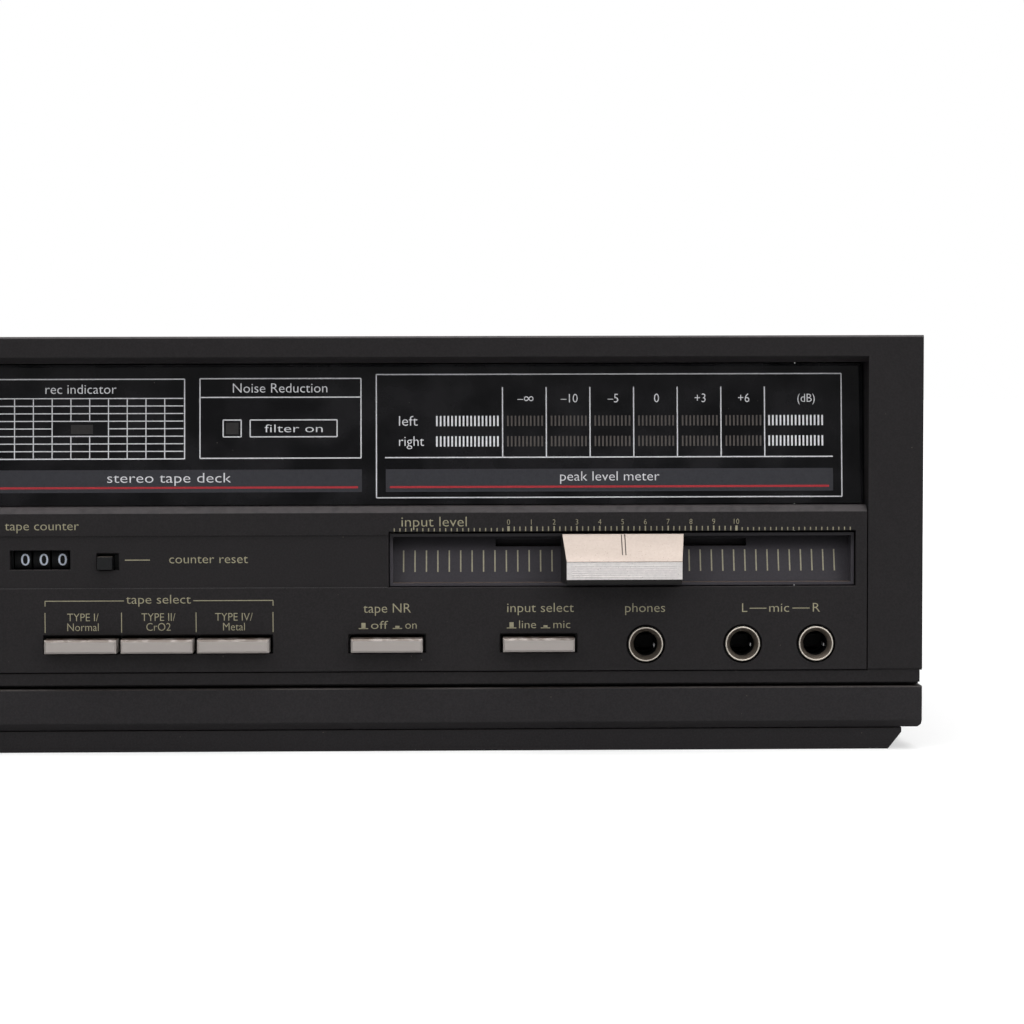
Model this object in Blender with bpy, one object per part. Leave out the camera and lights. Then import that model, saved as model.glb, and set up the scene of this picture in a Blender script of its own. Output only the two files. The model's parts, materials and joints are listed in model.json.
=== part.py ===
"""Front-loading cassette deck as separate pieces, in metres, +Z up, front face towards -Y."""

import math

import bmesh
import bpy
from mathutils import Vector

# Overall size and common gaps
width = 0.430
height = 0.1105
body_depth = 0.240
clearance = 0.0003
overrun = 0.002
embed = 0.0004
sheet = 0.001
moulding = 0.0024
round_sides = 32
small_sides = 16

# Front frame
cheek_width = 0.01455
top_bar = 0.0070
bar_slope_height = 0.0015
bar_slope_depth = 0.003
frame_depth = 0.014
frame_low = 0.0182
rail_height = 0.0032
groove_depth = 0.00055
edge_round = 0.0005
shadow_slot_depth = 0.003

# Base sill, plinth and feet
foot_height = 0.0057
sill_top = 0.01715
sill_bevel = 0.002
sill_lip = 0.0003
sill_end_bevel = 0.0008
plinth_setback = 0.0026
plinth_depth = 0.0194
plinth_end_inset = 0.005
plinth_end_slope = 0.0036
plinth_end_rise = 0.0045
foot_radius = 0.012
foot_inset = 0.026
foot_bevel = 0.001

# Bottom chassis
flange_height = 0.010
chassis_gap = 0.0006
boss_radius = 0.003

# Top cover and rear panel
cover_inset = 0.001
cover_drop = 0.0003
cover_bend = 0.0015
cover_low_gap = 0.0001
vent_count = 34
vent_pitch = 0.009
vent_width = 0.0035
vent_length = 0.034
vent_rear_inset = 0.022

# Control panel on the right of the face: free room between its items is shared out left to right
control_height = 0.04375
upper_gap_shares = (0.1368, 0.0701, 0.7611, 0.0320)
lower_gap_shares = (0.2246, 0.1868, 0.1832, 0.1127, 0.1418, 0.0727, 0.0782)
shelf_chamfer = 0.00165
shelf_depth = 0.0095
shelf_thickness = 0.0018
band_depth = 0.00035
band_low_share = 0.51
band_high_share = 0.827

# Level slider
slot_length = 0.1241
slot_height = 0.01485
slot_level_share = 0.678
tray_wall = 0.0008
tray_front = 0.0012
tray_back = 0.0095
tray_lean_low = 0.004
tray_lean_high = 0.0074
knob_length = 0.0326
knob_side_draft = 0.00115
knob_reach = 0.009
knob_top_reach = 0.002
knob_height = 0.0129
knob_ridge_share = 0.39
knob_tuck = 0.001
knob_bevel = 0.0006
slider_travel = 0.060
stem_width = 0.006
stem_height = 0.0014
stem_depth = 0.013
stem_drop = 0.0013
pot_extra = 0.028
pot_height = 0.010
pot_depth = 0.0072

# Display window and its board
window_lean = 0.003
window_setback = 0.006
window_thickness = 0.0025
board_thickness = 0.0016
board_margin = 0.004

# Push buttons
button_width = 0.0189
button_height = 0.0036
button_reach = 0.004
button_length = 0.016
button_bevel = 0.0005
button_travel = 0.003
button_level_share = 0.1634
tape_gap = 0.0012
aperture_height = 0.0052
aperture_rise = 0.0002
aperture_side_gap = 0.00085
switch_depth = 0.027
switch_side_wall = 0.002
switch_top_wall = 0.0045
pocket_gap = 0.0004

# Tape counter
counter_level_share = 0.6823
counter_window_width = 0.016
counter_window_height = 0.0052
wheel_radius = 0.0075
wheel_width = 0.0044
wheel_pitch = 0.00493
wheel_setback = 0.0027
counter_shaft_radius = 0.001
counter_cheek = 0.0009
counter_height = 0.017
counter_back_gap = 0.0008
reset_level_share = 0.67
reset_width = 0.0053
reset_height = 0.0040
reset_reach = 0.0012
reset_length = 0.011
reset_travel = 0.0020

# Jack sockets
jack_names = ("phones_jack", "mic_jack_left", "mic_jack_right")
jack_level_share = 0.1589
jack_ring_radius = 0.00458
jack_bore_radius = 0.0032
jack_hole_radius = 0.0052
jack_reach = 0.0005
jack_body_width = 0.0130
jack_body_depth = 0.028
jack_bore_depth = 0.026

# Main circuit board
board_front = 0.016
board_depth = 0.170
board_side_gap = 0.004

# Transport panel on the left of the face
column_width = 0.0282
mullion_width = 0.0034
bay_width = 0.128
bay_low_bar = 0.0013
door_gap = 0.0004
door_setback = 0.0008
door_thickness = 0.0042
door_low_border = 0.009
door_bevel = 0.0015
door_swing_gap = 0.0006
hinge_depth = 0.003
hinge_rise = 0.0027
hinge_pin_radius = 0.0015
hinge_pin_length = 0.003
hinge_ear_width = 0.0026
hinge_ear_size = 0.0085

# Cassette holder
cassette_width = 0.1014
cassette_room_front = 0.0010
cassette_room = 0.0124
holder_wall = 0.0014
holder_drop = 0.0027
holder_height_share = 0.962
holder_rim = 0.0067
holder_floor_length = 0.0077
holder_front_bar = 0.0065

# Transport keys
key_count = 6
key_gap = 0.0006
key_height = 0.0092
key_reach = 0.007
key_back = 0.003
key_bevel = 0.0008
key_drop = 0.0044
key_pivot_depth = 0.017
key_pivot_level = 0.0252
key_shaft_radius = 0.0015
key_web = 0.003
key_web_shares = (0.5, 0.5, 0.5, 0.5, 0.10, 0.5)
key_web_tail = 0.0016
key_names = ("record_key", "rewind_key", "play_key", "forward_key", "stop_key", "pause_key")


# Mechanism plate
plate_depth = 0.0225
plate_thickness = 0.0012
plate_top = 0.101
plate_side_gap = 0.0015
ear_width = 0.0015
ear_reach = 0.0085
ear_height = 0.008
mechanism_level = 0.036

# Reel spindles
hub_pitch = 0.0425
hub_rise = 0.0353
spindle_tip_depth = 0.0095
spindle_tip_radius = 0.0025
spindle_nose_radius = 0.0042
spindle_table_radius = 0.012
spindle_table_thickness = 0.0024
spindle_shaft_radius = 0.0027
spindle_tail = 0.006

# Capstan, flywheel, motor and belt
capstan_offset = 0.0315
capstan_rise = 0.0098
capstan_radius = 0.00125
capstan_tip_depth = 0.008
bearing_radius = 0.004
flywheel_radius = 0.024
flywheel_thickness = 0.0065
motor_offset = 0.030
motor_rise = 0.014
motor_radius = 0.016
motor_length = 0.024
motor_shaft_radius = 0.001
pulley_radius = 0.004
pulley_rim = 0.0012
belt_thickness = 0.0008
belt_width = 0.0035
belt_arc_steps = 16

# Pinch roller and arm
pinch_pivot_offset = 0.010
pinch_pivot_drop = 0.012
pinch_radius = 0.0055
pinch_length = 0.006
pinch_front = 0.009
pinch_axle_radius = 0.001
pinch_nip = 0.00025
pinch_swing_degrees = 20
arm_depth = 0.0192
arm_thickness = 0.0012
arm_width = 0.005
arm_boss_radius = 0.003
stud_radius = 0.0012

# Head plate and heads
head_plate_left = 0.028
head_plate_right = 0.0066
head_plate_low = 0.012
head_plate_high = 0.033
head_plate_thickness = 0.0013
head_front = 0.0084
head_width = 0.012
head_height = 0.0087
head_drop = 0.0001
head_depth = 0.0076
head_foot = 0.0026
erase_offset = 0.019
erase_width = 0.008

# Power supply
core_width = 0.050
core_depth = 0.036
core_height = 0.042
core_leg = 0.010
coil_gap = 0.0004
coil_bulge = 0.008
core_side_inset = 0.030
core_rear_inset = 0.020

# Rear sockets
socket_plate_width = 0.046
socket_plate_height = 0.030
socket_plate_thickness = 0.0016
socket_plate_rim = 0.003
socket_inner_depth = 0.012
socket_reach = 0.009
collar_radius = 0.00415
collar_hole_radius = 0.0017
collar_hole_depth = 0.0055
collar_count = 4
half_share = 0.5
socket_place_share = 0.72
socket_level_share = 0.62
gland_radius = 0.0075
gland_neck_radius = 0.0058
gland_lip = 0.0025
gland_length = 0.0075
gland_dimple_radius = 0.0034
gland_dimple_depth = 0.0015
gland_place_share = 0.10
gland_level_share = 0.22

def row_centres(left, right, widths, gap_shares):
    """Centres of items in a row from left to right, with the free room shared out between them."""
    free = right - left - sum(widths)
    places = []
    edge = left
    for item_width, gap_share in zip(widths, gap_shares):
        edge += gap_share * free
        places.append(edge + item_width / 2)
        edge += item_width
    return places


# Places that follow from the sizes above
half_width = width / 2
face_y = -(body_depth + socket_reach - knob_reach) / 2
rear_y = face_y + body_depth
sill_low = foot_height + clearance
opening_half = half_width - cheek_width
opening_low = frame_low + rail_height
opening_high = height - top_bar
panel_low = opening_low + clearance
transport_left = -opening_half + clearance
bay_left = transport_left + column_width
bay_right = bay_left + bay_width
transport_right = bay_right + mullion_width
control_left = transport_right + clearance
control_right = opening_half - clearance
control_high = panel_low + control_height
bay_x = (bay_left + bay_right) / 2
column_x = (transport_left + bay_left) / 2
cover_half = half_width - cover_inset
cover_top = height - cover_drop
chassis_half = cover_half - sheet - chassis_gap
chassis_front = frame_depth + clearance
floor_level = sill_low + sheet
slot_z = panel_low + slot_level_share * control_height
slot_low = slot_z - slot_height / 2
slot_high = slot_z + slot_height / 2
button_z = panel_low + button_level_share * control_height
jack_z = panel_low + jack_level_share * control_height
counter_z = panel_low + counter_level_share * control_height
reset_z = panel_low + reset_level_share * control_height
tape_pitch = button_width + tape_gap
counter_outer = 2 * (wheel_pitch + clearance + counter_cheek) + wheel_width
upper_row = (counter_outer, reset_width + 2 * clearance, slot_length)
counter_x, reset_x, slot_x = row_centres(control_left, control_right, upper_row, upper_gap_shares)
housing_width = button_width + 2 * (pocket_gap + switch_side_wall)
tape_housing_width = housing_width + 2 * tape_pitch
lower_row = (tape_housing_width, housing_width, housing_width, *[jack_body_width] * len(jack_names))
lower_centres = row_centres(control_left, control_right, lower_row, lower_gap_shares)
tape_x, noise_x, input_x, *jack_centres = lower_centres
jack_places = dict(zip(jack_names, jack_centres))
panel_back = moulding + clearance
board_level = opening_low - board_thickness
board_top = opening_low
key_low = opening_low + clearance + bay_low_bar + key_drop
key_high = key_low + key_height
door_low = key_high + door_swing_gap
door_high = opening_high - door_gap
hinge_z = door_low + hinge_rise
door_back = door_setback + door_thickness
holder_front = door_back + clearance
holder_back = holder_front + cassette_room_front + cassette_room + holder_wall
holder_low = door_low - holder_drop
holder_top = holder_low + holder_height_share * (door_high - door_low)
plate_back = plate_depth + plate_thickness
hub_z = mechanism_level + hub_rise
capstan_x = bay_x + capstan_offset
capstan_z = mechanism_level + capstan_rise
motor_x = bay_x - motor_offset
motor_z = mechanism_level + motor_rise
motor_back = plate_back + clearance + motor_length
belt_depth = motor_back + 2 * clearance + pulley_rim
flywheel_depth = belt_depth - (flywheel_thickness - belt_width) / 2
bearing_end = flywheel_depth - clearance

colours = {
    "charcoal": ((0.020, 0.020, 0.022), 0.55, 0.0),
    "black_gloss": ((0.006, 0.006, 0.009), 0.12, 0.0),
    "smoke": ((0.030, 0.030, 0.034), 0.10, 0.0),
    "champagne": ((0.52, 0.47, 0.42), 0.38, 0.6),
    "cream_metal": ((0.72, 0.62, 0.54), 0.40, 0.5),
    "nickel": ((0.55, 0.52, 0.47), 0.28, 1.0),
    "steel": ((0.50, 0.50, 0.50), 0.40, 0.9),
    "black_paint": ((0.022, 0.022, 0.023), 0.50, 0.0),
    "zinc": ((0.60, 0.60, 0.57), 0.45, 0.9),
    "board": ((0.22, 0.16, 0.06), 0.55, 0.0),
    "rubber": ((0.018, 0.018, 0.018), 0.80, 0.0),
    "white_print": ((0.80, 0.80, 0.80), 0.50, 0.0),
    "brass": ((0.62, 0.45, 0.20), 0.35, 1.0),
    "copper_wrap": ((0.55, 0.42, 0.16), 0.60, 0.0),
}


def clear_scene():
    for item in list(bpy.data.objects):
        bpy.data.objects.remove(item, do_unlink=True)


def back(depth):
    """Y of a point that lies this far behind the face."""
    return face_y + depth


def material(name):
    found = bpy.data.materials.get(name)
    if found:
        return found
    made = bpy.data.materials.new(name)
    made.use_nodes = True
    shader = made.node_tree.nodes["Principled BSDF"]
    colour, roughness, metallic = colours[name]
    shader.inputs["Base Color"].default_value = (*colour, 1.0)
    shader.inputs["Roughness"].default_value = roughness
    shader.inputs["Metallic"].default_value = metallic
    return made


def spot(axis, place, first, second):
    """Point at a place along an axis; first and second go along the other two axes in order."""
    if axis == "x":
        return (place, first, second)
    if axis == "y":
        return (first, place, second)
    return (first, second, place)


def bridge(mesh, first, second):
    """Join two rings, or a ring and a pole, with faces."""
    count = max(len(first), len(second))
    for index in range(count):
        after = (index + 1) % count
        if len(first) == 1:
            mesh.faces.new((first[0], second[index], second[after]))
        elif len(second) == 1:
            mesh.faces.new((first[index], second[0], first[after]))
        else:
            mesh.faces.new((first[index], second[index], second[after], first[after]))


def prism(mesh, axis, outline, low, high):
    """Closed prism of an outline in the plane across the axis."""
    near = [mesh.verts.new(spot(axis, low, *pair)) for pair in outline]
    far = [mesh.verts.new(spot(axis, high, *pair)) for pair in outline]
    mesh.faces.new(near)
    mesh.faces.new(list(reversed(far)))
    bridge(mesh, near, far)


def box(mesh, low, high):
    outline = [(low[0], low[2]), (high[0], low[2]), (high[0], high[2]), (low[0], high[2])]
    prism(mesh, "y", outline, low[1], high[1])


def rectangle_ring(mesh, half_x, place, low, high, centre_x):
    corners = [(-half_x, low), (half_x, low), (half_x, high), (-half_x, high)]
    return [mesh.verts.new((centre_x + x, place, z)) for x, z in corners]


def capped_bar(mesh, centre_x, bar_width, depths, levels, bevel):
    """Bar along Y whose front face is drawn in by a bevel on all four edges."""
    half = bar_width / 2
    front, rear = depths
    low, high = levels
    rings = [
        rectangle_ring(mesh, half - bevel, back(front), low + bevel, high - bevel, centre_x),
        rectangle_ring(mesh, half, back(front + bevel), low, high, centre_x),
        rectangle_ring(mesh, half, back(rear), low, high, centre_x),
    ]
    mesh.faces.new(rings[0])
    mesh.faces.new(list(reversed(rings[2])))
    bridge(mesh, rings[0], rings[1])
    bridge(mesh, rings[1], rings[2])


def circle(radius, centre, sides):
    turns = [2 * math.pi * (index + 0.5) / sides for index in range(sides)]
    return [(centre[0] + radius * math.cos(turn), centre[1] + radius * math.sin(turn)) for turn in turns]


def turned(mesh, axis, profile, centre, sides=round_sides, closed=False):
    """Turned shape: profile of (radius, place along the axis), open ends on the axis unless closed."""
    rings = []
    for radius, place in profile:
        pairs = circle(radius, centre, sides) if radius else [centre]
        rings.append([mesh.verts.new(spot(axis, place, *pair)) for pair in pairs])
    for first, second in zip(rings, rings[1:]):
        bridge(mesh, first, second)
    if closed:
        bridge(mesh, rings[-1], rings[0])


def rod(mesh, axis, radius, centre, low, high, sides=round_sides):
    turned(mesh, axis, [(0, low), (radius, low), (radius, high), (0, high)], centre, sides)


def ring_prism(mesh, axis, inner, outer, low, high):
    """Closed band between two outlines with the same number of points."""
    corners = []
    for outline, place in ((inner, low), (outer, low), (outer, high), (inner, high)):
        corners.append([mesh.verts.new(spot(axis, place, *pair)) for pair in outline])
    for index in range(4):
        bridge(mesh, corners[index], corners[(index + 1) % 4])


def make(name, mesh, colour, origin=(0, 0, 0), smooth=False):
    """Turn collected shapes into an object whose origin is at a chosen point."""
    bmesh.ops.recalc_face_normals(mesh, faces=mesh.faces)
    bmesh.ops.translate(mesh, verts=mesh.verts, vec=-Vector(origin))
    data = bpy.data.meshes.new(name)
    mesh.to_mesh(data)
    mesh.free()
    data.materials.append(material(colour))
    if smooth:
        data.shade_smooth()
        data.set_sharp_from_angle(angle=math.radians(35))
    body = bpy.data.objects.new(name, data)
    body.location = origin
    bpy.context.collection.objects.link(body)
    return body


def combine(body, mesh, operation):
    """Cut shapes from a body, or join them to it, with a hidden tool object."""
    tool = make(f"{body.name}_{operation.lower()}_{len(body.modifiers)}", mesh, "charcoal")
    tool.hide_render = True
    tool.display_type = "WIRE"
    step = body.modifiers.new(operation.lower(), "BOOLEAN")
    step.operation = operation
    step.solver = "EXACT"
    step.object = tool


def cut(body, mesh):
    combine(body, mesh, "DIFFERENCE")


def join(body, mesh):
    combine(body, mesh, "UNION")


def outline_behind(points):
    """Outline given as (depth behind the face, height) in world coordinates."""
    return [(back(depth), level) for depth, level in points]


def front_frame():
    leg_low = sill_top + clearance
    mesh = bmesh.new()
    points = [
        (groove_depth, frame_low), (shadow_slot_depth, frame_low), (shadow_slot_depth, leg_low),
        (frame_depth, leg_low), (frame_depth, height), (edge_round, height),
        (0, height - edge_round), (0, opening_low + groove_depth), (groove_depth, opening_low),
    ]
    prism(mesh, "x", outline_behind(points), -half_width, half_width)
    body = make("front_frame", mesh, "charcoal")

    mesh = bmesh.new()
    points = [
        (-overrun, opening_low), (frame_depth + overrun, opening_low),
        (frame_depth + overrun, opening_high), (bar_slope_depth, opening_high),
        (0, opening_high + bar_slope_height), (-overrun, opening_high + bar_slope_height),
    ]
    prism(mesh, "x", outline_behind(points), -opening_half, opening_half)
    cut(body, mesh)

    mesh = bmesh.new()
    for side in (-1, 1):
        edges = sorted((side * (half_width - groove_depth), side * (half_width + overrun)))
        low = (edges[0], back(-overrun), leg_low - overrun)
        high = (edges[1], back(frame_depth + overrun), opening_low)
        box(mesh, low, high)
    cut(body, mesh)


def base_sill():
    mesh = bmesh.new()
    points = [
        (0, sill_low + sill_bevel), (0, sill_top - sill_lip), (sill_lip, sill_top),
        (frame_depth, sill_top), (frame_depth, sill_low), (sill_bevel, sill_low),
    ]
    prism(mesh, "x", outline_behind(points), -half_width, half_width)
    body = make("base_sill", mesh, "charcoal")
    mesh = bmesh.new()
    outer = half_width + overrun
    for side in (-1, 1):
        outline = [
            (side * (half_width - sill_end_bevel - overrun), sill_low - overrun),
            (side * outer, sill_low - overrun),
            (side * outer, sill_low + sill_end_bevel + overrun),
        ]
        prism(mesh, "y", outline, back(-overrun), back(frame_depth + overrun))
    cut(body, mesh)


def plinth_bar():
    mesh = bmesh.new()
    top_half = half_width - plinth_end_inset
    low_half = top_half - plinth_end_slope
    outline = [
        (-low_half, 0), (low_half, 0), (top_half, plinth_end_rise), (top_half, foot_height),
        (-top_half, foot_height), (-top_half, plinth_end_rise),
    ]
    prism(mesh, "y", outline, back(plinth_setback), back(plinth_setback + plinth_depth))
    make("plinth_bar", mesh, "charcoal")


def rear_feet():
    profile = [
        (0, 0), (foot_radius - foot_bevel, 0), (foot_radius, foot_bevel),
        (foot_radius, foot_height), (0, foot_height),
    ]
    for name, side in (("rear_foot_left", -1), ("rear_foot_right", 1)):
        mesh = bmesh.new()
        turned(mesh, "z", profile, (side * (half_width - foot_inset), rear_y - foot_inset))
        make(name, mesh, "rubber", smooth=True)


def main_board_corners():
    left = control_left + board_side_gap
    right = chassis_half - sheet - board_side_gap
    return left, right, back(board_front), back(board_front + board_depth)


def bottom_chassis():
    mesh = bmesh.new()
    front = back(chassis_front)
    rear = rear_y - sheet - clearance
    box(mesh, (-chassis_half, front, sill_low), (chassis_half, rear, sill_low + flange_height))
    body = make("bottom_chassis", mesh, "zinc")
    mesh = bmesh.new()
    inner = chassis_half - sheet
    low = (-inner, front + sheet, floor_level)
    high = (inner, rear - sheet, sill_low + flange_height + overrun)
    box(mesh, low, high)
    cut(body, mesh)
    left, right, near, far = main_board_corners()
    mesh = bmesh.new()
    for x in (left + 2 * boss_radius, right - 2 * boss_radius):
        for y in (near + 2 * boss_radius, far - 2 * boss_radius):
            rod(mesh, "z", boss_radius, (x, y), floor_level - embed, board_level - clearance, small_sides)
    join(body, mesh)


def main_board():
    left, right, near, far = main_board_corners()
    mesh = bmesh.new()
    box(mesh, (left, near, board_level), (right, far, board_top))
    make("main_board", mesh, "board")


def cover_section(half, top, low, bend):
    left_side = [(-half, low), (-half, top - bend), (-half + bend, top)]
    return left_side + [(-x, level) for x, level in reversed(left_side)]


def top_cover():
    mesh = bmesh.new()
    low = sill_low + cover_low_gap
    outer = cover_section(cover_half, cover_top, low, cover_bend)
    inner = cover_section(cover_half - sheet, cover_top - sheet, low, cover_bend - sheet / 2)
    prism(mesh, "y", outer + list(reversed(inner)), back(chassis_front), rear_y)
    body = make("top_cover", mesh, "black_paint")
    mesh = bmesh.new()
    far = rear_y - vent_rear_inset
    for index in range(vent_count):
        x = (index - (vent_count - 1) / 2) * vent_pitch
        low_corner = (x - vent_width / 2, far - vent_length, cover_top - sheet - overrun)
        high_corner = (x + vent_width / 2, far, cover_top + overrun)
        box(mesh, low_corner, high_corner)
    cut(body, mesh)


def rear_places():
    """Centres of the socket plate and the cord gland on the rear panel."""
    span = 2 * chassis_half
    tall = cover_top - sill_low
    socket = (-chassis_half + socket_place_share * span, sill_low + socket_level_share * tall)
    gland = (-chassis_half + gland_place_share * span, sill_low + gland_level_share * tall)
    return socket, gland


def rear_panel():
    mesh = bmesh.new()
    half = cover_half - sheet - clearance
    low = floor_level + clearance
    high = cover_top - sheet - clearance
    prism(mesh, "y", cover_section(half, high, low, cover_bend), rear_y - sheet, rear_y)
    body = make("rear_panel", mesh, "black_paint")
    socket, gland = rear_places()
    half_x = socket_plate_width / 2 - socket_plate_rim + clearance
    half_z = socket_plate_height / 2 - socket_plate_rim + clearance
    mesh = bmesh.new()
    box(
        mesh,
        (socket[0] - half_x, rear_y - sheet - overrun, socket[1] - half_z),
        (socket[0] + half_x, rear_y + overrun, socket[1] + half_z),
    )
    rod(mesh, "y", gland_neck_radius + clearance, gland, rear_y - sheet - overrun, rear_y + overrun)
    cut(body, mesh)


def rca_block():
    (x, z), _ = rear_places()
    half_x = socket_plate_width / 2
    half_z = socket_plate_height / 2
    plate_front = rear_y + clearance
    plate_rear = plate_front + socket_plate_thickness
    mesh = bmesh.new()
    box(mesh, (x - half_x, plate_front, z - half_z), (x + half_x, plate_rear, z + half_z))
    body = make("rca_block", mesh, "rubber")
    mesh = bmesh.new()
    inner_x = half_x - socket_plate_rim
    inner_z = half_z - socket_plate_rim
    low = (x - inner_x, rear_y - socket_inner_depth, z - inner_z)
    box(mesh, low, (x + inner_x, plate_front + embed, z + inner_z))
    join(body, mesh)
    collars = bmesh.new()
    holes = bmesh.new()
    tip = rear_y + socket_reach
    for index in range(collar_count):
        place_share = (index + half_share) / collar_count - half_share
        centre = (x + place_share * 2 * inner_x, z)
        rod(collars, "y", collar_radius, centre, plate_rear - embed, tip, small_sides)
        rod(holes, "y", collar_hole_radius, centre, tip - collar_hole_depth, tip + overrun, small_sides)
    join(body, collars)
    cut(body, holes)


def mains_gland():
    _, centre = rear_places()
    inner = rear_y - sheet - gland_lip
    outer = rear_y + clearance
    tip = rear_y + gland_length
    dimple = tip - gland_dimple_depth
    mesh = bmesh.new()
    profile = [
        (0, inner), (gland_neck_radius, inner), (gland_neck_radius, outer), (gland_radius, outer),
        (gland_radius, outer + gland_lip), (gland_neck_radius, tip), (gland_dimple_radius, tip),
        (gland_dimple_radius, dimple), (0, dimple),
    ]
    turned(mesh, "y", profile, centre)
    make("mains_gland", mesh, "rubber", smooth=True)


def control_panel():
    mesh = bmesh.new()
    points = [
        (0, panel_low), (0, control_high - shelf_chamfer), (shelf_chamfer, control_high),
        (shelf_depth, control_high), (shelf_depth, control_high - shelf_thickness),
        (moulding, control_high - shelf_thickness), (moulding, panel_low),
    ]
    prism(mesh, "x", outline_behind(points), control_left, control_right)
    body = make("control_panel", mesh, "charcoal")
    cut(body, control_openings())
    mesh = bmesh.new()
    low = panel_low + band_low_share * control_height
    high = panel_low + band_high_share * control_height
    slot_left = slot_x - slot_length / 2
    box(mesh, (control_left - overrun, back(-overrun), low), (slot_left + embed, back(band_depth), high))
    cut(body, mesh)


def through_box(mesh, centre, size_x, size_z):
    """Cutter box right through a moulded panel."""
    x, z = centre
    low = (x - size_x / 2, back(-overrun), z - size_z / 2)
    high = (x + size_x / 2, back(moulding + overrun), z + size_z / 2)
    box(mesh, low, high)


def button_places():
    """Centres of the push buttons on the control panel, by name."""
    places = {f"tape_key_{index + 1}": tape_x + (index - 1) * tape_pitch for index in range(3)}
    return dict(places, noise_key=noise_x, input_key=input_x)


def control_openings():
    places = button_places()
    mesh = bmesh.new()
    through_box(mesh, (slot_x, slot_z), slot_length, slot_height)
    through_box(mesh, (counter_x, counter_z), counter_window_width, counter_window_height)
    through_box(mesh, (reset_x, reset_z), reset_width + 2 * clearance, reset_height + 2 * clearance)
    side = 2 * aperture_side_gap
    level = button_z + aperture_rise
    tape_width = 2 * tape_pitch + button_width + side
    through_box(mesh, (places["tape_key_2"], level), tape_width, aperture_height)
    for name in ("noise_key", "input_key"):
        through_box(mesh, (places[name], level), button_width + side, aperture_height)
    for x in jack_places.values():
        rod(mesh, "y", jack_hole_radius, (x, jack_z), back(-overrun), back(moulding + overrun))
    return mesh


def push_buttons():
    levels = (button_z - button_height / 2, button_z + button_height / 2)
    places = dict(button_places(), power_button=column_x)
    for name, x in places.items():
        mesh = bmesh.new()
        depths = (-button_reach, button_length - button_reach)
        capped_bar(mesh, x, button_width, depths, levels, button_bevel)
        make(name, mesh, "champagne", origin=(x, back(-button_reach), button_z))


def switch_housing(name, centres, low):
    """Switch body with a pocket behind each push button."""
    side = button_width / 2 + pocket_gap + switch_side_wall
    high = button_z + button_height / 2 + pocket_gap + switch_top_wall
    mesh = bmesh.new()
    far = back(panel_back + switch_depth)
    box(mesh, (min(centres) - side, back(panel_back), low), (max(centres) + side, far, high))
    body = make(name, mesh, "rubber")
    mesh = bmesh.new()
    pocket_end = back(button_length - button_reach + button_travel + pocket_gap)
    half_x = button_width / 2 + pocket_gap
    half_z = button_height / 2 + pocket_gap
    for x in centres:
        near = back(panel_back) - overrun
        box(mesh, (x - half_x, near, button_z - half_z), (x + half_x, pocket_end, button_z + half_z))
    cut(body, mesh)


def switch_housings():
    places = button_places()
    seat = board_top + clearance
    switch_housing("tape_switch", [places[f"tape_key_{index}"] for index in (1, 2, 3)], seat)
    switch_housing("noise_switch", [places["noise_key"]], seat)
    switch_housing("input_switch", [places["input_key"]], seat)
    switch_housing("power_switch", [column_x], panel_low)


def reset_button():
    mesh = bmesh.new()
    levels = (reset_z - reset_height / 2, reset_z + reset_height / 2)
    capped_bar(mesh, reset_x, reset_width, (-reset_reach, reset_length - reset_reach), levels, clearance)
    make("reset_button", mesh, "charcoal", origin=(reset_x, back(-reset_reach), reset_z))


def counter_ends():
    half = wheel_pitch + wheel_width / 2 + clearance
    return counter_x - half, counter_x + half


def counter_body():
    left, right = counter_ends()
    near = back(panel_back)
    axle_y = back(wheel_setback + wheel_radius)
    inner = axle_y + wheel_radius + counter_back_gap
    far = inner + counter_cheek
    outline = [
        (left - counter_cheek, near), (left - counter_cheek, far), (right + counter_cheek, far),
        (right + counter_cheek, near), (right, near), (right, inner), (left, inner), (left, near),
    ]
    mesh = bmesh.new()
    prism(mesh, "z", outline, counter_z - counter_height / 2, counter_z + counter_height / 2)
    body = make("counter_body", mesh, "rubber")
    mesh = bmesh.new()
    rod(mesh, "x", counter_shaft_radius, (axle_y, counter_z), left - embed, right + embed, small_sides)
    join(body, mesh)


def counter_wheels():
    axle_y = back(wheel_setback + wheel_radius)
    bore = counter_shaft_radius + clearance
    for index in range(3):
        x = counter_x + (index - 1) * wheel_pitch
        left = x - wheel_width / 2
        right = x + wheel_width / 2
        profile = [(bore, left), (wheel_radius, left), (wheel_radius, right), (bore, right)]
        mesh = bmesh.new()
        turned(mesh, "x", profile, (axle_y, counter_z), closed=True)
        make(f"counter_wheel_{index + 1}", mesh, "rubber", origin=(x, axle_y, counter_z), smooth=True)


def jacks():
    body_low = board_top + clearance
    half = jack_body_width / 2
    for name, x in jack_places.items():
        mesh = bmesh.new()
        high = (x + half, back(panel_back + jack_body_depth), jack_z + half)
        box(mesh, (x - half, back(panel_back), body_low), high)
        body = make(name, mesh, "nickel", smooth=True)
        mesh = bmesh.new()
        rod(mesh, "y", jack_ring_radius, (x, jack_z), back(-jack_reach), back(panel_back + embed))
        join(body, mesh)
        mesh = bmesh.new()
        rod(mesh, "y", jack_bore_radius, (x, jack_z), back(-jack_reach - overrun), back(jack_bore_depth))
        cut(body, mesh)


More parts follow.
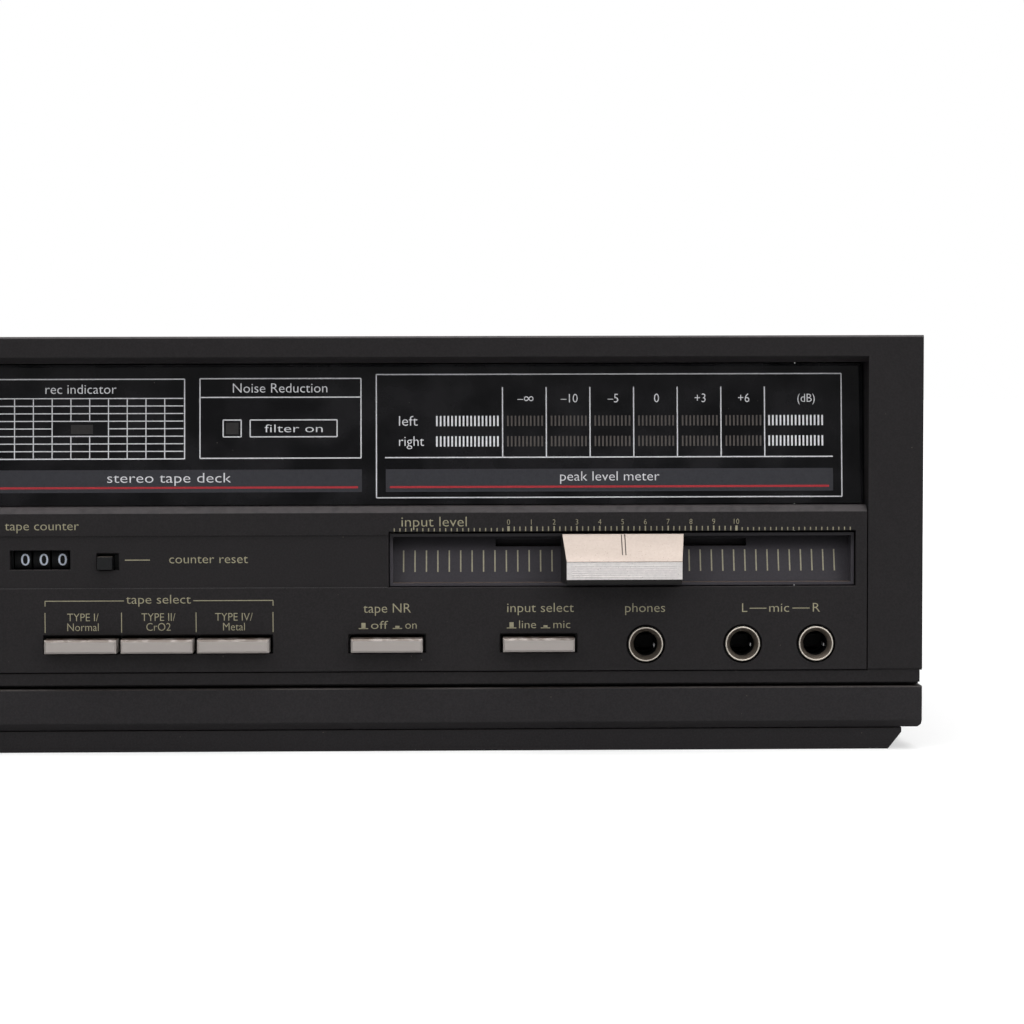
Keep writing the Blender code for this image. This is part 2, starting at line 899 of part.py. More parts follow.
def slider_tray():
    left = slot_x - slot_length / 2 + clearance
    right = slot_x + slot_length / 2 - clearance
    low = slot_low + clearance
    high = slot_high - 2 * clearance
    mesh = bmesh.new()
    box(mesh, (left, back(tray_front), low), (right, back(tray_back), high))
    body = make("slider_tray", mesh, "black_gloss")
    mesh = bmesh.new()
    points = [
        (-overrun, low + tray_wall), (tray_lean_low, low + tray_wall),
        (tray_lean_high, high - tray_wall), (-overrun, high - tray_wall),
    ]
    prism(mesh, "x", outline_behind(points), left + tray_wall, right - tray_wall)
    cut(body, mesh)
    half = (slider_travel + stem_width) / 2 + 2 * clearance
    stem_low, stem_high = stem_levels()
    mesh = bmesh.new()
    low_corner = (slot_x - half, back(tray_lean_low), stem_low - clearance)
    box(mesh, low_corner, (slot_x + half, back(tray_back + overrun), stem_high + clearance))
    cut(body, mesh)


def stem_levels():
    top = slot_high - 2 * clearance - tray_wall - stem_drop
    return top - stem_height, top


def slider_knob():
    tuck_top = slot_high - 2 * clearance - tray_wall - clearance
    top = tuck_top + knob_tuck
    low = top - knob_height
    ridge = low + knob_height * knob_ridge_share
    tray_low = slot_low + clearance + tray_wall
    tray_high = slot_high - 2 * clearance - tray_wall
    lean = (tray_lean_high - tray_lean_low) / (tray_high - tray_low)

    def tray_face(level):
        return tray_lean_low + lean * (level - tray_low)

    points = [
        (-knob_top_reach, top), (-knob_reach, ridge), (-knob_reach, low + knob_bevel),
        (-knob_reach + knob_bevel, low), (tray_face(low) - 2 * clearance, low),
        (tray_face(tuck_top) - 2 * clearance, tuck_top), (tray_front - 2 * clearance, tuck_top),
        (tray_front - 2 * clearance, top),
    ]
    half = knob_length / 2
    mesh = bmesh.new()
    prism(mesh, "x", outline_behind(points), slot_x - half, slot_x + half)
    for corner in mesh.verts:
        proud = max(0, face_y - corner.co.y) / knob_reach
        side = math.copysign(1, corner.co.x - slot_x)
        corner.co.x -= side * knob_side_draft * proud
    body = make("slider_knob", mesh, "cream_metal", origin=(slot_x, back(0), slot_z))
    stem_low, stem_high = stem_levels()
    mesh = bmesh.new()
    low_corner = (slot_x - stem_width / 2, back(tray_front), stem_low)
    box(mesh, low_corner, (slot_x + stem_width / 2, back(stem_depth), stem_high))
    join(body, mesh)


def slide_pot():
    half = (slider_travel + pot_extra) / 2
    stem_low, stem_high = stem_levels()
    middle = (stem_low + stem_high) / 2
    near = tray_back + clearance
    mesh = bmesh.new()
    low = (slot_x - half, back(near), middle - pot_height / 2)
    box(mesh, low, (slot_x + half, back(near + pot_depth), middle + pot_height / 2))
    body = make("slide_pot", mesh, "steel")
    mesh = bmesh.new()
    reach = (slider_travel + stem_width) / 2 + 2 * clearance
    far = back(stem_depth + 2 * clearance)
    low = (slot_x - reach, back(near) - overrun, stem_low - clearance)
    box(mesh, low, (slot_x + reach, far, stem_high + clearance))
    cut(body, mesh)


def window_section(gap, thickness, low, high):
    """Leaning plate in (depth, height): gap is its distance behind the window's front."""
    rise = opening_high - control_high
    slope = window_lean / rise
    near_low = window_setback + gap + slope * (low - control_high)
    near_high = window_setback + gap + slope * (high - control_high)
    return [(near_low, low), (near_high, high), (near_high + thickness, high), (near_low + thickness, low)]


def display_window():
    mesh = bmesh.new()
    points = window_section(0, window_thickness, control_high + clearance, opening_high - clearance)
    prism(mesh, "x", outline_behind(points), control_left, control_right)
    make("display_window", mesh, "black_gloss")


def display_board():
    mesh = bmesh.new()
    gap = window_thickness + clearance
    low = control_high + board_margin
    high = opening_high - board_margin
    points = window_section(gap, board_thickness, low, high)
    prism(mesh, "x", outline_behind(points), control_left + board_margin, control_right - board_margin)
    make("display_board", mesh, "board")


def transport_panel():
    mesh = bmesh.new()
    high = opening_high - clearance
    box(mesh, (transport_left, back(0), panel_low), (transport_right, back(moulding), high))
    body = make("transport_panel", mesh, "charcoal")
    mesh = bmesh.new()
    bay_low = panel_low + bay_low_bar
    box(mesh, (bay_left, back(-overrun), bay_low), (bay_right, back(moulding + overrun), high + overrun))
    side = button_width + 2 * aperture_side_gap
    through_box(mesh, (column_x, button_z + aperture_rise), side, aperture_height)
    cut(body, mesh)
    mesh = bmesh.new()
    ear_low = hinge_z - hinge_ear_size / 2
    ear_high = hinge_z + hinge_ear_size / 2
    ear_back = moulding - embed + hinge_ear_size
    for edge, side in ((bay_left, -1), (bay_right, 1)):
        ends = sorted((edge + side * clearance, edge + side * (clearance + hinge_ear_width)))
        box(mesh, (ends[0], back(moulding - embed), ear_low), (ends[1], back(ear_back), ear_high))
    join(body, mesh)
    mesh = bmesh.new()
    hinge_y = back(hinge_depth)
    reach = hinge_ear_width + overrun
    bore = hinge_pin_radius + clearance
    for edge in (bay_left, bay_right):
        rod(mesh, "x", bore, (hinge_y, hinge_z), edge - reach, edge + reach, small_sides)
    cut(body, mesh)


def cassette_door():
    half = bay_width / 2 - door_gap
    origin = (bay_x, back(hinge_depth), hinge_z)
    mesh = bmesh.new()
    points = [
        (door_setback, door_low + door_bevel), (door_setback, door_high), (door_back, door_high),
        (door_back, door_low), (door_setback + door_bevel, door_low),
    ]
    prism(mesh, "x", outline_behind(points), bay_x - half, bay_x + half)
    body = make("cassette_door", mesh, "charcoal", origin=origin)
    mesh = bmesh.new()
    left, right, low, high = lens_edges(0)
    box(mesh, (left, back(door_setback - overrun), low), (right, back(door_back + overrun), high))
    cut(body, mesh)
    mesh = bmesh.new()
    for side in (-1, 1):
        ends = sorted((bay_x + side * (half - embed), bay_x + side * (half + hinge_pin_length)))
        rod(mesh, "x", hinge_pin_radius, (back(hinge_depth), hinge_z), ends[0], ends[1], small_sides)
    join(body, mesh)


def lens_edges(gap):
    half = cassette_width / 2 + holder_wall - gap
    return bay_x - half, bay_x + half, door_low + door_low_border + gap, door_high - door_low_border - gap


def door_window():
    left, right, low, high = lens_edges(clearance)
    mesh = bmesh.new()
    near = door_setback + clearance
    box(mesh, (left, back(near), low), (right, back(door_back - clearance), high))
    make("door_window", mesh, "smoke", origin=(bay_x, back(hinge_depth), hinge_z))


def cassette_holder():
    half = cassette_width / 2
    outer = half + holder_wall
    pocket_low = holder_low + holder_wall
    pocket_front = holder_front + cassette_room_front
    pocket_back = pocket_front + cassette_room
    mesh = bmesh.new()
    low = (bay_x - outer, back(holder_front), holder_low)
    box(mesh, low, (bay_x + outer, back(holder_back), holder_top))
    body = make("cassette_holder", mesh, "charcoal", origin=(bay_x, back(hinge_depth), hinge_z))
    mesh = bmesh.new()
    top = holder_top + overrun
    box(mesh, (bay_x - half, back(pocket_front), pocket_low), (bay_x + half, back(pocket_back), top))
    cut(body, mesh)
    inner = half - holder_rim
    mesh = bmesh.new()
    bar_high = pocket_low + holder_front_bar
    low = (bay_x - inner, back(holder_front - overrun), bar_high)
    box(mesh, low, (bay_x + inner, back(pocket_front + overrun), holder_top - holder_front_bar))
    cut(body, mesh)
    mesh = bmesh.new()
    floor_half = half - holder_floor_length
    low = (bay_x - floor_half, back(pocket_front + clearance), holder_low - overrun)
    box(mesh, low, (bay_x + floor_half, back(holder_back + overrun), pocket_low + overrun))
    cut(body, mesh)
    mesh = bmesh.new()
    low = (bay_x - floor_half, back(holder_front - overrun), holder_low - overrun)
    box(mesh, low, (bay_x + floor_half, back(pocket_front + overrun), door_low))
    cut(body, mesh)
    mesh = bmesh.new()
    low = (bay_x - inner, back(pocket_back - overrun), pocket_low + holder_wall)
    box(mesh, low, (bay_x + inner, back(holder_back + overrun), top))
    cut(body, mesh)


def key_places():
    pitch = bay_width / key_count
    lefts = [bay_left + index * pitch for index in range(key_count)]
    return pitch, lefts


def transport_keys():
    pitch, lefts = key_places()
    pivot = (back(key_pivot_depth), key_pivot_level)
    tail = key_pivot_depth + key_web_tail
    sole = key_pivot_level - key_shaft_radius - clearance
    web_points = [
        (key_back - embed, key_low + embed), (key_back - embed, key_high - key_bevel - 2 * embed),
        (key_back + key_web, key_high - key_web), (tail, key_pivot_level + key_web),
        (tail, sole), (key_pivot_depth - key_web, sole),
    ]
    for name, left, web_share in zip(key_names, lefts, key_web_shares):
        x = left + pitch / 2
        mesh = bmesh.new()
        capped_bar(mesh, x, pitch - key_gap, (-key_reach, key_back), (key_low, key_high), key_bevel)
        body = make(name, mesh, "champagne", origin=(x, *pivot))
        web_x = left + web_share * pitch
        web_x = max(web_x, left + key_gap / 2 + key_web / 2)
        mesh = bmesh.new()
        prism(mesh, "x", outline_behind(web_points), web_x - key_web / 2, web_x + key_web / 2)
        join(body, mesh)
        mesh = bmesh.new()
        rod(mesh, "x", key_shaft_radius + clearance, pivot, web_x - key_web, web_x + key_web, small_sides)
        cut(body, mesh)


def key_shaft():
    half = bay_width / 2 - plate_side_gap + clearance
    mesh = bmesh.new()
    pivot = (back(key_pivot_depth), key_pivot_level)
    rod(mesh, "x", key_shaft_radius, pivot, bay_x - half, bay_x + half, small_sides)
    make("key_shaft", mesh, "steel", smooth=True)


def mech_plate():
    half = bay_width / 2 - plate_side_gap
    mesh = bmesh.new()
    low = (bay_x - half, back(plate_depth), floor_level + clearance)
    box(mesh, low, (bay_x + half, back(plate_back), plate_top))
    body = make("mech_plate", mesh, "steel")
    mesh = bmesh.new()
    near = back(plate_depth - overrun)
    far = back(plate_back + overrun)
    for side in (-1, 1):
        centre = (bay_x + side * hub_pitch / 2, hub_z)
        rod(mesh, "y", spindle_shaft_radius + clearance, centre, near, far)
    cut(body, mesh)
    mesh = bmesh.new()
    rod(mesh, "y", bearing_radius, (capstan_x, capstan_z), back(plate_back - embed), back(bearing_end))
    pivot = (bay_x + pinch_pivot_offset, mechanism_level - pinch_pivot_drop)
    rod(mesh, "y", stud_radius, pivot, back(arm_depth), back(plate_depth + embed), small_sides)
    ear_low = key_pivot_level - ear_height / 2
    for side in (-1, 1):
        ends = sorted((bay_x + side * half, bay_x + side * (half - ear_width)))
        low = (ends[0], back(plate_depth - ear_reach), ear_low)
        box(mesh, low, (ends[1], back(plate_depth + embed), ear_low + ear_height))
    join(body, mesh)
    mesh = bmesh.new()
    bore = capstan_radius + clearance
    rod(mesh, "y", bore, (capstan_x, capstan_z), near, back(bearing_end + overrun), small_sides)
    pivot = (back(key_pivot_depth), key_pivot_level)
    for side in (-1, 1):
        ends = sorted((bay_x + side * (half + overrun), bay_x + side * (half - ear_width - overrun)))
        rod(mesh, "x", key_shaft_radius + clearance, pivot, ends[0], ends[1], small_sides)
    cut(body, mesh)


def spindles():
    table_back = plate_depth - 3 * clearance
    table_front = table_back - spindle_table_thickness
    tail = plate_back + spindle_tail
    profile = [
        (0, spindle_tip_depth), (spindle_tip_radius, spindle_tip_depth),
        (spindle_nose_radius, spindle_tip_depth + spindle_tip_radius), (spindle_nose_radius, table_front),
        (spindle_table_radius, table_front), (spindle_table_radius, table_back),
        (spindle_shaft_radius, table_back), (spindle_shaft_radius, tail), (0, tail),
    ]
    profile = [(radius, back(depth)) for radius, depth in profile]
    for name, side in (("supply_spindle", -1), ("take_up_spindle", 1)):
        x = bay_x + side * hub_pitch / 2
        mesh = bmesh.new()
        turned(mesh, "y", profile, (x, hub_z))
        make(name, mesh, "rubber", origin=(x, back(spindle_tip_depth), hub_z), smooth=True)


def capstan_flywheel():
    rear = flywheel_depth + flywheel_thickness
    profile = [
        (0, capstan_tip_depth), (capstan_radius - clearance, capstan_tip_depth),
        (capstan_radius, capstan_tip_depth + clearance), (capstan_radius, flywheel_depth),
        (flywheel_radius, flywheel_depth), (flywheel_radius, rear), (0, rear),
    ]
    profile = [(radius, back(depth)) for radius, depth in profile]
    mesh = bmesh.new()
    turned(mesh, "y", profile, (capstan_x, capstan_z))
    origin = (capstan_x, back(capstan_tip_depth), capstan_z)
    make("capstan_flywheel", mesh, "brass", origin=origin, smooth=True)


def drive_motor():
    mesh = bmesh.new()
    rod(mesh, "y", motor_radius, (motor_x, motor_z), back(plate_back + clearance), back(motor_back))
    body = make("drive_motor", mesh, "zinc", smooth=True)
    mesh = bmesh.new()
    shaft_end = back(belt_depth + belt_width + pulley_rim / 2)
    rod(mesh, "y", motor_shaft_radius, (motor_x, motor_z), back(motor_back - embed), shaft_end, small_sides)
    join(body, mesh)


def motor_pulley():
    bore = motor_shaft_radius + clearance
    near = belt_depth - pulley_rim
    far = belt_depth + belt_width + pulley_rim
    flange = pulley_radius + pulley_rim
    profile = [
        (bore, near), (flange, near), (flange, belt_depth - clearance),
        (pulley_radius, belt_depth - clearance),
        (pulley_radius, belt_depth + belt_width + clearance), (flange, belt_depth + belt_width + clearance),
        (flange, far), (bore, far),
    ]
    profile = [(radius, back(depth)) for radius, depth in profile]
    mesh = bmesh.new()
    turned(mesh, "y", profile, (motor_x, motor_z), small_sides, closed=True)
    make("motor_pulley", mesh, "brass", origin=(motor_x, back(belt_depth), motor_z), smooth=True)


def belt_outline(offset):
    """Loop round the flywheel and the motor pulley at this distance from both."""
    span = Vector((motor_x - capstan_x, motor_z - capstan_z))
    lean = math.acos((flywheel_radius - pulley_radius) / span.length)
    heading = math.atan2(span.y, span.x)
    points = []
    arcs = (
        (capstan_x, capstan_z, flywheel_radius + offset, heading + lean, heading + 2 * math.pi - lean),
        (motor_x, motor_z, pulley_radius + offset, heading - lean, heading + lean),
    )
    for x, z, radius, start, end in arcs:
        for step in range(belt_arc_steps + 1):
            turn = start + (end - start) * step / belt_arc_steps
            points.append((x + radius * math.cos(turn), z + radius * math.sin(turn)))
    return points


def drive_belt():
    inner = belt_outline(2 * clearance)
    outer = belt_outline(2 * clearance + belt_thickness)
    mesh = bmesh.new()
    ring_prism(mesh, "y", inner, outer, back(belt_depth), back(belt_depth + belt_width))
    make("drive_belt", mesh, "rubber")


def pinch_places():
    """Pivot and roller centres at rest, in (x, z)."""
    pivot = Vector((bay_x + pinch_pivot_offset, mechanism_level - pinch_pivot_drop))
    nip = Vector((capstan_x, capstan_z - capstan_radius - pinch_radius - pinch_nip))
    reach = nip - pivot
    turn = math.atan2(reach.y, reach.x) - math.radians(pinch_swing_degrees)
    roller = pivot + reach.length * Vector((math.cos(turn), math.sin(turn)))
    return pivot, roller


def pinch_arm():
    pivot, roller = pinch_places()
    along = (roller - pivot).normalized()
    across = Vector((-along.y, along.x)) * arm_width / 2
    mesh = bmesh.new()
    start = pivot - along * arm_boss_radius / 2
    end = roller + along * arm_width / 2
    outline = [tuple(start - across), tuple(end - across), tuple(end + across), tuple(start + across)]
    prism(mesh, "y", outline, back(arm_depth), back(arm_depth + arm_thickness))
    body = make("pinch_arm", mesh, "steel", origin=(pivot.x, back(arm_depth), pivot.y))
    mesh = bmesh.new()
    boss_front = back(arm_depth + arm_thickness / 2)
    rod(mesh, "y", arm_boss_radius, tuple(pivot), boss_front, back(plate_depth - clearance), small_sides)
    axle_front = pinch_front - pinch_axle_radius
    rod(mesh, "y", pinch_axle_radius, tuple(roller), back(axle_front), back(arm_depth + embed), small_sides)
    join(body, mesh)
    mesh = bmesh.new()
    near = back(arm_depth - overrun)
    rod(mesh, "y", stud_radius + clearance, tuple(pivot), near, back(plate_depth + overrun), small_sides)
    cut(body, mesh)


def pinch_roller():
    _, roller = pinch_places()
    near = back(pinch_front)
    far = back(pinch_front + pinch_length)
    bore = pinch_axle_radius + clearance
    profile = [(bore, near), (pinch_radius, near), (pinch_radius, far), (bore, far)]
    mesh = bmesh.new()
    turned(mesh, "y", profile, tuple(roller), closed=True)
    make("pinch_roller", mesh, "rubber", origin=(roller.x, near, roller.y), smooth=True)


def head_plate():
    far = plate_depth - clearance
    mesh = bmesh.new()
    low = (bay_x - head_plate_left, back(far - head_plate_thickness), head_plate_low)
    box(mesh, low, (bay_x + head_plate_right, back(far), head_plate_high))
    make("head_plate", mesh, "zinc")


def heads():
    foot_back = plate_depth - 2 * clearance - head_plate_thickness
    top = mechanism_level - head_drop
    low = top - head_height
    erase_x = bay_x - erase_offset
    for name, x, size in (("record_play_head", bay_x, head_width), ("erase_head", erase_x, erase_width)):
        half = size / 2
        mesh = bmesh.new()
        nose = half / 2
        outline = [
            (x - half, back(head_front + head_depth)), (x - half, back(head_front + nose / 2)),
            (x - nose, back(head_front)), (x + nose, back(head_front)),
            (x + half, back(head_front + nose / 2)), (x + half, back(head_front + head_depth)),
        ]
        prism(mesh, "z", outline, low, top)
        body = make(name, mesh, "nickel")
        mesh = bmesh.new()
        foot_low = (x - half + embed, back(head_front + head_depth - embed), low + embed)
        foot_high = (x + half - embed, back(foot_back), low + embed + head_foot)
        box(mesh, foot_low, foot_high)
        join(body, mesh)


def loop_around(left, right, near, far):
    return [(left, near), (right, near), (right, far), (left, far)]


def transformer():
    x = -chassis_half + core_side_inset + core_width / 2
    far = rear_y - core_rear_inset
    near = far - core_depth
    low = floor_level + clearance
    high = low + core_height
    window_low = low + core_leg
    window_high = high - core_leg
    mesh = bmesh.new()
    box(mesh, (x - core_width / 2, near, low), (x + core_width / 2, far, high))
    core = make("transformer_core", mesh, "steel")
    gap = (core_width - 4 * core_leg) / 2
    mesh = bmesh.new()
    for side in (-1, 1):
        inner = core_leg
        edges = sorted((x + side * inner, x + side * (inner + gap)))
        box(mesh, (edges[0], near - overrun, window_low), (edges[1], far + overrun, window_high))
    cut(core, mesh)
    hole = core_leg + coil_gap
    outer = core_leg + gap - coil_gap
    inner_loop = loop_around(x - hole, x + hole, near - coil_gap, far + coil_gap)
    outer_loop = loop_around(x - outer, x + outer, near - coil_bulge, far + coil_bulge)
    mesh = bmesh.new()
    ring_prism(mesh, "z", inner_loop, outer_loop, window_low + coil_gap, window_high - coil_gap)
    make("transformer_coil", mesh, "copper_wrap")


def build():
    clear_scene()
    front_frame()
    base_sill()
    plinth_bar()
    rear_feet()
    bottom_chassis()
    main_board()
    top_cover()
    rear_panel()
    rca_block()
    mains_gland()
    control_panel()
    display_window()
    display_board()
    slider_tray()
    slider_knob()
    slide_pot()
    push_buttons()
    switch_housings()
    reset_button()
    counter_body()
    counter_wheels()
    jacks()
    transport_panel()
    cassette_door()
    door_window()
    cassette_holder()
    transport_keys()
    key_shaft()
    mech_plate()
    spindles()
    capstan_flywheel()
    drive_motor()
    motor_pulley()
    drive_belt()
    pinch_arm()
    pinch_roller()
    head_plate()
    heads()
    transformer()


build()
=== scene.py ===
"""Looks of the cassette deck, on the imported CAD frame: camera, light, materials, print and small fittings."""

import json
import math

import bmesh
import bpy
from mathutils import Matrix, Vector

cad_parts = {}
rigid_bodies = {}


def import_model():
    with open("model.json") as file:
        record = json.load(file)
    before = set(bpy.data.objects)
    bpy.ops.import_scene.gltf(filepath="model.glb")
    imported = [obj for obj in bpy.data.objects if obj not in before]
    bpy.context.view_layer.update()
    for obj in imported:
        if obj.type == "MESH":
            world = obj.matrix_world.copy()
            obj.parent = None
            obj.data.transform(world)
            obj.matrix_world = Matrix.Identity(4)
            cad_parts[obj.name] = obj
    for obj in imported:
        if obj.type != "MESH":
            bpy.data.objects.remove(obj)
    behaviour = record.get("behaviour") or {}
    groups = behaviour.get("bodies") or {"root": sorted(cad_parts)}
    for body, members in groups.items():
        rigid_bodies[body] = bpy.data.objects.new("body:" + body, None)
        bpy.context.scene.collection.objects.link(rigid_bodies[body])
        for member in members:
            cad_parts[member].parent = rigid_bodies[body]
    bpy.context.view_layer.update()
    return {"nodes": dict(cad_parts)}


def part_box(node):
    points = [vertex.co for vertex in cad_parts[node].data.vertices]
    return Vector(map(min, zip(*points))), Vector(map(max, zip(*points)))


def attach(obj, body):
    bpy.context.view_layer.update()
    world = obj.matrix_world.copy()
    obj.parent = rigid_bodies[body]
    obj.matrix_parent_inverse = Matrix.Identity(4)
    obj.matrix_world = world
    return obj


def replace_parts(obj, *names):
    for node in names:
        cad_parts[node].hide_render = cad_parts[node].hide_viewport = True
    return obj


for item in list(bpy.data.objects):
    bpy.data.objects.remove(item, do_unlink=True)
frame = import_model()

mm = 0.001

# Camera, fitted to the edges in the photograph
sensor_width = 36
photo_width = 1024
focal_pixels = 2400
camera_place = Vector((95.56, -755.05, 94.76)) * mm
camera_pitch, camera_yaw, camera_roll = (math.radians(angle) for angle in (2.7793, 0.9230, -0.1510))

# Print
ink_lift = 0.04 * mm
line_width = 0.3 * mm

# Places of the frame
face_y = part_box("front_frame")[0].y
window_low, window_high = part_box("display_window")
tray_low, tray_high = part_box("slider_tray")
knob_low, knob_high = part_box("slider_knob")
pane_thickness = 2.5 * mm
band_depth = 0.35 * mm
tray_lean_low = 4.0 * mm
tray_lean_high = 7.4 * mm
tray_wall = 0.8 * mm
slot_x = (tray_low.x + tray_high.x) / 2
half = 0.5


def face_point(x, z, out=0):
    return Vector((x, face_y - out, z))


def band_point(x, z, out=0):
    return Vector((x, face_y + band_depth - out, z))


def window_point(x, z, out=0):
    """Point on the leaning pane, or in front of it by out."""
    share = (z - window_low.z) / (window_high.z - window_low.z)
    y = window_low.y + share * (window_high.y - pane_thickness - window_low.y)
    return Vector((x, y - out, z))


def tray_point(x, z, out=0):
    low = tray_low.z + tray_wall
    share = (z - low) / (tray_high.z - tray_wall - low)
    return Vector((x, face_y + tray_lean_low + share * (tray_lean_high - tray_lean_low) - out, z))


def front_of(node):
    """A function that places points on the flat front of a CAD node."""
    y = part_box(node)[0].y
    return lambda x, z, out=0: Vector((x, y - out, z))


# Node materials
white = (1, 1, 1, 1)


def add_node(tree, kind, inputs=(), **settings):
    """New shader node; inputs pairs its sockets with values or with outputs of other nodes."""
    node = tree.nodes.new("ShaderNode" + kind)
    for name, value in settings.items():
        setattr(node, name, value)
    for socket, value in dict(inputs).items():
        if isinstance(value, bpy.types.NodeSocket):
            tree.links.new(value, node.inputs[socket])
        else:
            node.inputs[socket].default_value = value
    return node


class Surface:
    """One procedural material, built round a Principled shader."""

    def __init__(self, name, colour, roughness, metallic=0.0, shine=0.5):
        self.material = bpy.data.materials.new(name)
        self.material.use_nodes = True
        self.tree = self.material.node_tree
        self.tree.nodes.clear()
        values = {"Base Color": (*colour, 1), "Roughness": roughness, "Metallic": metallic}
        self.shader = self.node("BsdfPrincipled", {**values, "Specular IOR Level": shine})
        self.output = self.node("OutputMaterial", {"Surface": self.shader.outputs[0]})
        self.place = self.node("TexCoord").outputs["Object"]

    def node(self, kind, inputs=(), **settings):
        return add_node(self.tree, kind, inputs, **settings)

    def feed(self, socket, source):
        self.tree.links.new(source, self.shader.inputs[socket])

    def noise(self, size, detail=2.0, stretch=(1, 1, 1)):
        """Noise whose features are about size metres across, times 1/stretch on each axis."""
        place = self.node("Mapping", {"Vector": self.place, "Scale": stretch}).outputs[0]
        return self.node("TexNoise", {"Vector": place, "Scale": 1 / size, "Detail": detail}).outputs["Fac"]

    def cells(self, size, output="Distance", feature="F1"):
        values = {"Vector": self.place, "Scale": 1 / size}
        return self.node("TexVoronoi", values, feature=feature).outputs[output]

    def waves(self, pitch, direction):
        values = {"Vector": self.place, "Scale": math.pi / (10 * pitch)}
        return self.node("TexWave", values, wave_type="BANDS", bands_direction=direction).outputs["Fac"]

    def remap(self, source, from_low, from_high, to_low=0.0, to_high=1.0):
        values = {"Value": source, "From Min": from_low, "From Max": from_high}
        return self.node("MapRange", {**values, "To Min": to_low, "To Max": to_high}).outputs[0]

    def patches(self, size, from_low, from_high, to_low=0.0, to_high=1.0, detail=2.0, stretch=(1, 1, 1)):
        """Noise that runs from to_low to to_high within a narrow range of its values."""
        return self.remap(self.noise(size, detail, stretch), from_low, from_high, to_low, to_high)

    def maths(self, operation, first, second):
        return self.node("Math", {0: first, 1: second}, operation=operation).outputs[0]

    def both(self, first, second):
        return self.maths("MULTIPLY", first, second)

    def mix(self, factor, first, second):
        """Colour between first and second; each is a colour or a socket."""
        first, second = ((*value, 1) if isinstance(value, tuple) else value for value in (first, second))
        return self.node("Mix", {"Factor": factor, 6: first, 7: second}, data_type="RGBA").outputs[2]

    def paint(self, factor, first, second):
        self.feed("Base Color", self.mix(factor, first, second))

    def gloss(self, *values, **more):
        self.feed("Roughness", self.patches(*values, **more))

    def upright_part(self, vector):
        return self.node("SeparateXYZ", {0: vector}).outputs["Z"]

    def rounded_edges(self, radius):
        """Normal that turns softly over the edges, and a mask that is 1 on them."""
        turned = self.node("Bevel", {"Radius": radius}, samples=6).outputs[0]
        normal = self.node("NewGeometry").outputs["Normal"]
        dot = self.node("VectorMath", {0: turned, 1: normal}, operation="DOT_PRODUCT").outputs["Value"]
        return turned, self.remap(dot, 0.995, 0.80)

    def bump(self, height, depth, **normal):
        values = {"Height": height, "Distance": depth, **normal}
        self.feed("Normal", self.node("Bump", values).outputs[0])


def tone(colour, factor):
    return tuple(min(1.0, part * factor) for part in colour)


def moulded(name, colour, roughness, metallic=0.0, grain=0.12, depth=0.004, variation=0.12, dust=0.0,
            dust_colour=(0.10, 0.078, 0.060), wear=0.0, edge=0.3, stretch=(1, 1, 1), shine=0.5, speckle=0.0):
    """A finished surface: grain, mottled tone and gloss, dust on top faces, softened edges, and edges lightened
    by rubbed wear and a painted highlight.
    """
    surface = Surface(name, colour, roughness, metallic, shine)
    tint = surface.mix(surface.noise(14 * mm, 3.0), tone(colour, 1 - variation), tone(colour, 1 + variation))
    if speckle:
        fine = surface.patches(0.45 * mm, 0.35, 0.65, detail=3.0)
        tint = surface.mix(surface.both(fine, speckle), tint, tone(colour, 2.4))
        dots = surface.remap(surface.cells(3.7 * mm), 0.050, 0.030)
        lint = surface.both(dots, surface.patches(9 * mm, 0.55, 0.6))
        tint = surface.mix(lint, tint, (0.085, 0.072, 0.062))
    normal, edge_mask = surface.rounded_edges(edge * mm)
    # Lighter patches along the edges: rubbed wear, and a painted highlight where the rounded edges catch light.
    if wear:
        worn_and_lit = surface.both(edge_mask, surface.patches(1.6 * mm, 0.42, 0.62, 0, wear))
        tint = surface.mix(worn_and_lit, tint, tone(colour, 3.0))
    if dust:
        facing = surface.remap(surface.upright_part(surface.node("NewGeometry").outputs["Normal"]), 0, 1)
        upward = surface.remap(facing, 0.35, 0.75)
        settled = surface.both(upward, surface.patches(2.5 * mm, 0.15, 0.55, detail=4.0))
        tint = surface.mix(surface.both(settled, dust), tint, dust_colour)
    surface.feed("Base Color", tint)
    surface.gloss(5 * mm, 0.25, 0.75, roughness - 0.06, roughness + 0.06, 3.0, stretch)
    surface.bump(surface.noise(grain * mm, 2.0, stretch), depth * mm, Normal=normal)
    return surface


def finish(*values, **more):
    return moulded(*values, **more).material


def window_gloss():
    surface = Surface("window_gloss", (0.0038, 0.0038, 0.0046), 0.07, shine=0.35)
    smudge = surface.patches(22 * mm, 0.45, 0.75, 0.05, 0.16, 4.0)
    scratch = surface.patches(0.9 * mm, 0.68, 0.72, 0, 0.10, stretch=(0.06, 1, 1.6))
    surface.feed("Roughness", surface.maths("ADD", smudge, scratch))
    dots = surface.remap(surface.cells(3.1 * mm), 0.045, 0.02)
    speck = surface.both(dots, surface.patches(6 * mm, 0.55, 0.6))
    cloud = surface.patches(13 * mm, 0.40, 0.66, detail=6.0)
    film = surface.mix(cloud, (0.0026, 0.0026, 0.0034), (0.0125, 0.0120, 0.0138))
    surface.paint(speck, film, (0.12, 0.11, 0.10))
    return surface.material


